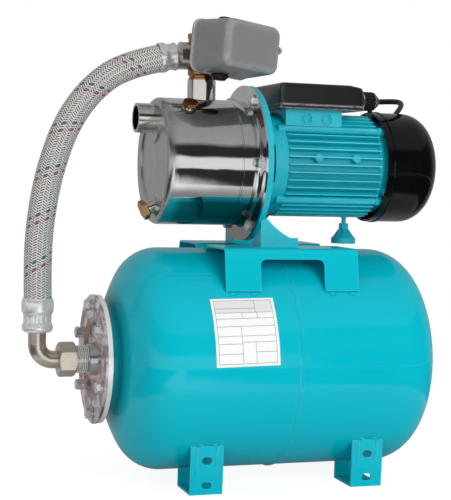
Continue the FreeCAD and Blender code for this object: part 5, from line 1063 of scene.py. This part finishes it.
class BOOSTER_OT_motor_details(bpy.types.Operator):
    """Make the small parts on the motor: bosses, knockout rings, gland grip and foot ribs"""

    bl_idname = "booster.motor_details"
    bl_label = "Motor details"

    def execute(self, context):
        self.bosses()
        self.knockouts()
        self.gland()
        self.foot_ribs()
        return {"FINISHED"}

    def wedge(self, mesh, at, towards, turn, length, width, height, tip):
        """A block whose far end is narrower by a share, the tip."""
        block = slab(mm(length, width, height))
        for vert in block.verts:
            if vert.co.x > mm(length / 2):
                vert.co.y *= tip
        soften(block, block.edges[:], 0.0004)
        put(mesh, block, at, towards, turn)

    def bosses(self):
        """Drawn-out tails on the two flat bosses of the housing."""
        mesh = bmesh.new()
        slope = math.radians(8)
        out = Vector((0, -math.cos(slope), math.sin(slope)))
        left = degrees_to((-1, 0, 0), out)
        for x in (45, 97):
            at = mm(x, 0, SHAFT_Z) + out * mm(59)
            self.wedge(mesh, at, out, left, 8, 6, 5.6, 0.1)
            self.wedge(mesh, at, out, left + 180, 9, 2.6, 4.6, 0.6)
        add_piece("boss_tails", mesh, "cast_paint")

    def knockouts(self):
        """Two raised rings and a dot at each knockout of the terminal box."""
        mesh = bmesh.new()
        for x in (34.3, 60.9):
            at, out = mm(x, -45, 461), (0, -1, 0)
            for radius in (7.3, 4.4):
                ring = [(-0.3, radius - 0.6), (1.3, radius - 0.45), (1.5, radius), (1.3, radius + 0.45),
                        (-0.3, radius + 0.6), (-0.3, radius - 0.6)]
                put(mesh, lathe(ring, 40), at, out)
            put(mesh, lathe([(-0.3, 1.6), (0.5, 1.4), (0.7, 1.0), (0.7, 0)], 20), at, out)
        add_piece("knockout_rings", mesh, "cast_paint")

    def gland(self):
        """Grip ribs round the gland nut."""
        mesh = bmesh.new()
        for number in range(20):
            angle = math.tau * number / 20
            out = Vector((0, math.cos(angle), math.sin(angle)))
            at = mm(114.5, -35, 487) + out * mm(11.2)
            self.wedge(mesh, at, out, degrees_to((1, 0, 0), out), 14, 1.7, 1.1, 0.8)
        add_piece("gland_grip", mesh, "rubber_black")

    def foot_ribs(self):
        """Ribs from the foot's stem down to its round pad, and the pad's rim."""
        mesh = bmesh.new()
        for number in range(8):
            rib = slab(mm(10, 1.7, 12))
            for vert in rib.verts:
                if vert.co.z > mm(6) and vert.co.x > mm(5):
                    vert.co.x = mm(1.6)
            bmesh.ops.translate(rib, vec=mm(5.2, 0, 0), verts=rib.verts)
            soften(rib, rib.edges[:], 0.0003)
            put(mesh, rib, mm(109, 0, 308.2), (0, 0, 1), 45 * number + 20)
        rim = lathe([(6.8, 13.4), (7.6, 13.7), (7.9, 14.6), (7.6, 15.5), (6.8, 15.8), (6.8, 13.4)], 48)
        put(mesh, rim, mm(109, 0, 301.5), (0, 0, 1))
        add_piece("foot_ribs", mesh, "foot_plastic")


def switch_axes():
    """Out of the switch, across it and up it, as it is turned and tipped on the fitting."""
    yaw, roll = math.radians(20), math.radians(5)
    level = Vector((math.cos(yaw), math.sin(yaw), 0))
    return (Vector((math.sin(yaw), -math.cos(yaw), 0)), level * math.cos(roll) - Vector((0, 0, math.sin(roll))),
            Vector((0, 0, math.cos(roll))) + level * math.sin(roll))


SWITCH = mm(-92, 0, 546)
FORWARD, SIDEWAYS, UPWARD = switch_axes()


class BOOSTER_OT_switch(bpy.types.Operator):
    """Make the hood of the pressure switch, fit the plate and the plugs to it, and remake the spring as a piece
    of its own
    """

    bl_idname = "booster.switch"
    bl_label = "Switch hood"

    def execute(self, context):
        sizes = context.scene.booster_switch
        draft, wall, hair = math.radians(2.5), 0.0016, 0.0001
        out, across, down = mm(34.8), mm(4), mm(2.6)
        hood = slab((sizes.width, sizes.height, sizes.depth), (0, 0, 0.5))
        far = sizes.depth * math.tan(draft)
        for vert in hood.verts:
            if vert.co.z > sizes.depth / 2:
                vert.co.x -= math.copysign(far, vert.co.x)
                vert.co.y -= math.copysign(far, vert.co.y)
        upright = [edge for edge in hood.edges
                   if abs(edge.verts[0].co.z - edge.verts[1].co.z) > sizes.depth / 2]
        soften(hood, upright, sizes.corner, 8)
        rim = [edge for edge in hood.edges if min(vert.co.z for vert in edge.verts) > sizes.depth - hair]
        soften(hood, rim, sizes.round, 8)
        mouth = [face for face in hood.faces if max(vert.co.z for vert in face.verts) < hair]
        bmesh.ops.delete(hood, geom=mouth, context="FACES")
        self.lip(hood, sizes)
        bmesh.ops.solidify(hood, geom=hood.faces[:], thickness=wall)
        swing = Matrix((SIDEWAYS, UPWARD, FORWARD)).transposed().to_4x4()
        start = SWITCH + FORWARD * out + SIDEWAYS * across - UPWARD * down
        hood.transform(Matrix.Translation(start) @ swing)
        piece = add_piece("switch_hood", hood, "switch_grey", angle=40)
        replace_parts(piece, "switch_cover")
        self.lowered("switch_plate", "switch_base", "switch_dark", 31)
        self.lowered("switch_plugs", "switch_grommets", "rubber_black", 5)
        self.spring()
        return {"FINISHED"}

    def lip(self, hood, sizes):
        """A step outwards round the hood's mouth, and a short skirt below it."""
        step, skirt = 0.0012, 0.003
        edges = [edge for edge in hood.edges if edge.is_boundary]
        for reach, drop in ((step, 0.0), (0.0, skirt)):
            made = bmesh.ops.extrude_edge_only(hood, edges=edges)["geom"]
            edges = [item for item in made if isinstance(item, bmesh.types.BMEdge)]
            for vert in [item for item in made if isinstance(item, bmesh.types.BMVert)]:
                outward = Vector((vert.co.x / sizes.width, vert.co.y / sizes.height, 0)).normalized()
                vert.co += outward * reach - Vector((0, 0, drop))

    def welded(self, node):
        """The mesh of a node, with its corners joined."""
        mesh = bmesh.new()
        mesh.from_mesh(nodes[node].data)
        bmesh.ops.remove_doubles(mesh, verts=mesh.verts, dist=1e-6)
        return mesh

    def spring(self):
        """The spring, which the lever presses against the nut on its stud."""
        piece = add_piece("pressed_spring", self.welded("switch_spring"), "plain_steel")
        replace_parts(piece, "switch_spring")
        tuple(SWITCH + FORWARD * mm(62.5))
        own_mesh(piece)

    def lowered(self, name, node, material, above):
        """A node whose top end comes down to the hood, with rounded corners on its plate."""
        drop, plate, half_height, hair, corner = mm(5.2), mm(2), mm(27), 0.0001, 0.009
        mesh = self.welded(node)
        for vert in mesh.verts:
            if (vert.co - SWITCH).dot(UPWARD) > mm(above):
                vert.co -= UPWARD * drop
        corners = [edge for edge in mesh.edges
                   if edge.calc_length() < plate + hair
                   and abs((edge.verts[0].co - SWITCH).dot(UPWARD)) > half_height
                   and abs((edge.verts[0].co - edge.verts[1].co).dot(FORWARD)) > plate - hair]
        soften(mesh, corners, corner, 6)
        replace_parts(add_piece(name, mesh, material), node)


OPERATORS = (BOOSTER_OT_stage, BOOSTER_OT_hose, BOOSTER_OT_lead, BOOSTER_OT_finishes, BOOSTER_OT_fittings,
             BOOSTER_OT_bolts, BOOSTER_OT_welds, BOOSTER_OT_label, BOOSTER_OT_motor_details,
             BOOSTER_OT_switch)


class BOOSTER_PT_panel(bpy.types.Panel):
    """Sizes and colours, and a button for each group of pieces"""

    bl_label = "Booster set"
    bl_space_type = "VIEW_3D"
    bl_region_type = "UI"
    bl_category = "Booster"

    def draw(self, context):
        for key in GROUPS:
            group = getattr(context.scene, key)
            for name in group.__annotations__:
                self.layout.prop(group, name)
        for operator in OPERATORS:
            self.layout.operator(operator.bl_idname)


GROUPS = {"booster_looks": BoosterLooks, "booster_stage": BoosterStage, "booster_hose": BoosterHose,
          "booster_label": BoosterLabel, "booster_switch": BoosterSwitch}


def register():
    for kind in (*GROUPS.values(), *OPERATORS, BOOSTER_PT_panel):
        bpy.utils.register_class(kind)
    for name, kind in GROUPS.items():
        setattr(bpy.types.Scene, name, PointerProperty(type=kind))


def unregister():
    for name in GROUPS:
        delattr(bpy.types.Scene, name)
    for kind in reversed((*GROUPS.values(), *OPERATORS, BOOSTER_PT_panel)):
        bpy.utils.unregister_class(kind)


def main():
    register()
    for operator in OPERATORS:
        getattr(bpy.ops.booster, operator.bl_idname.split(".")[1])()


if __name__ == "__main__":
    main()
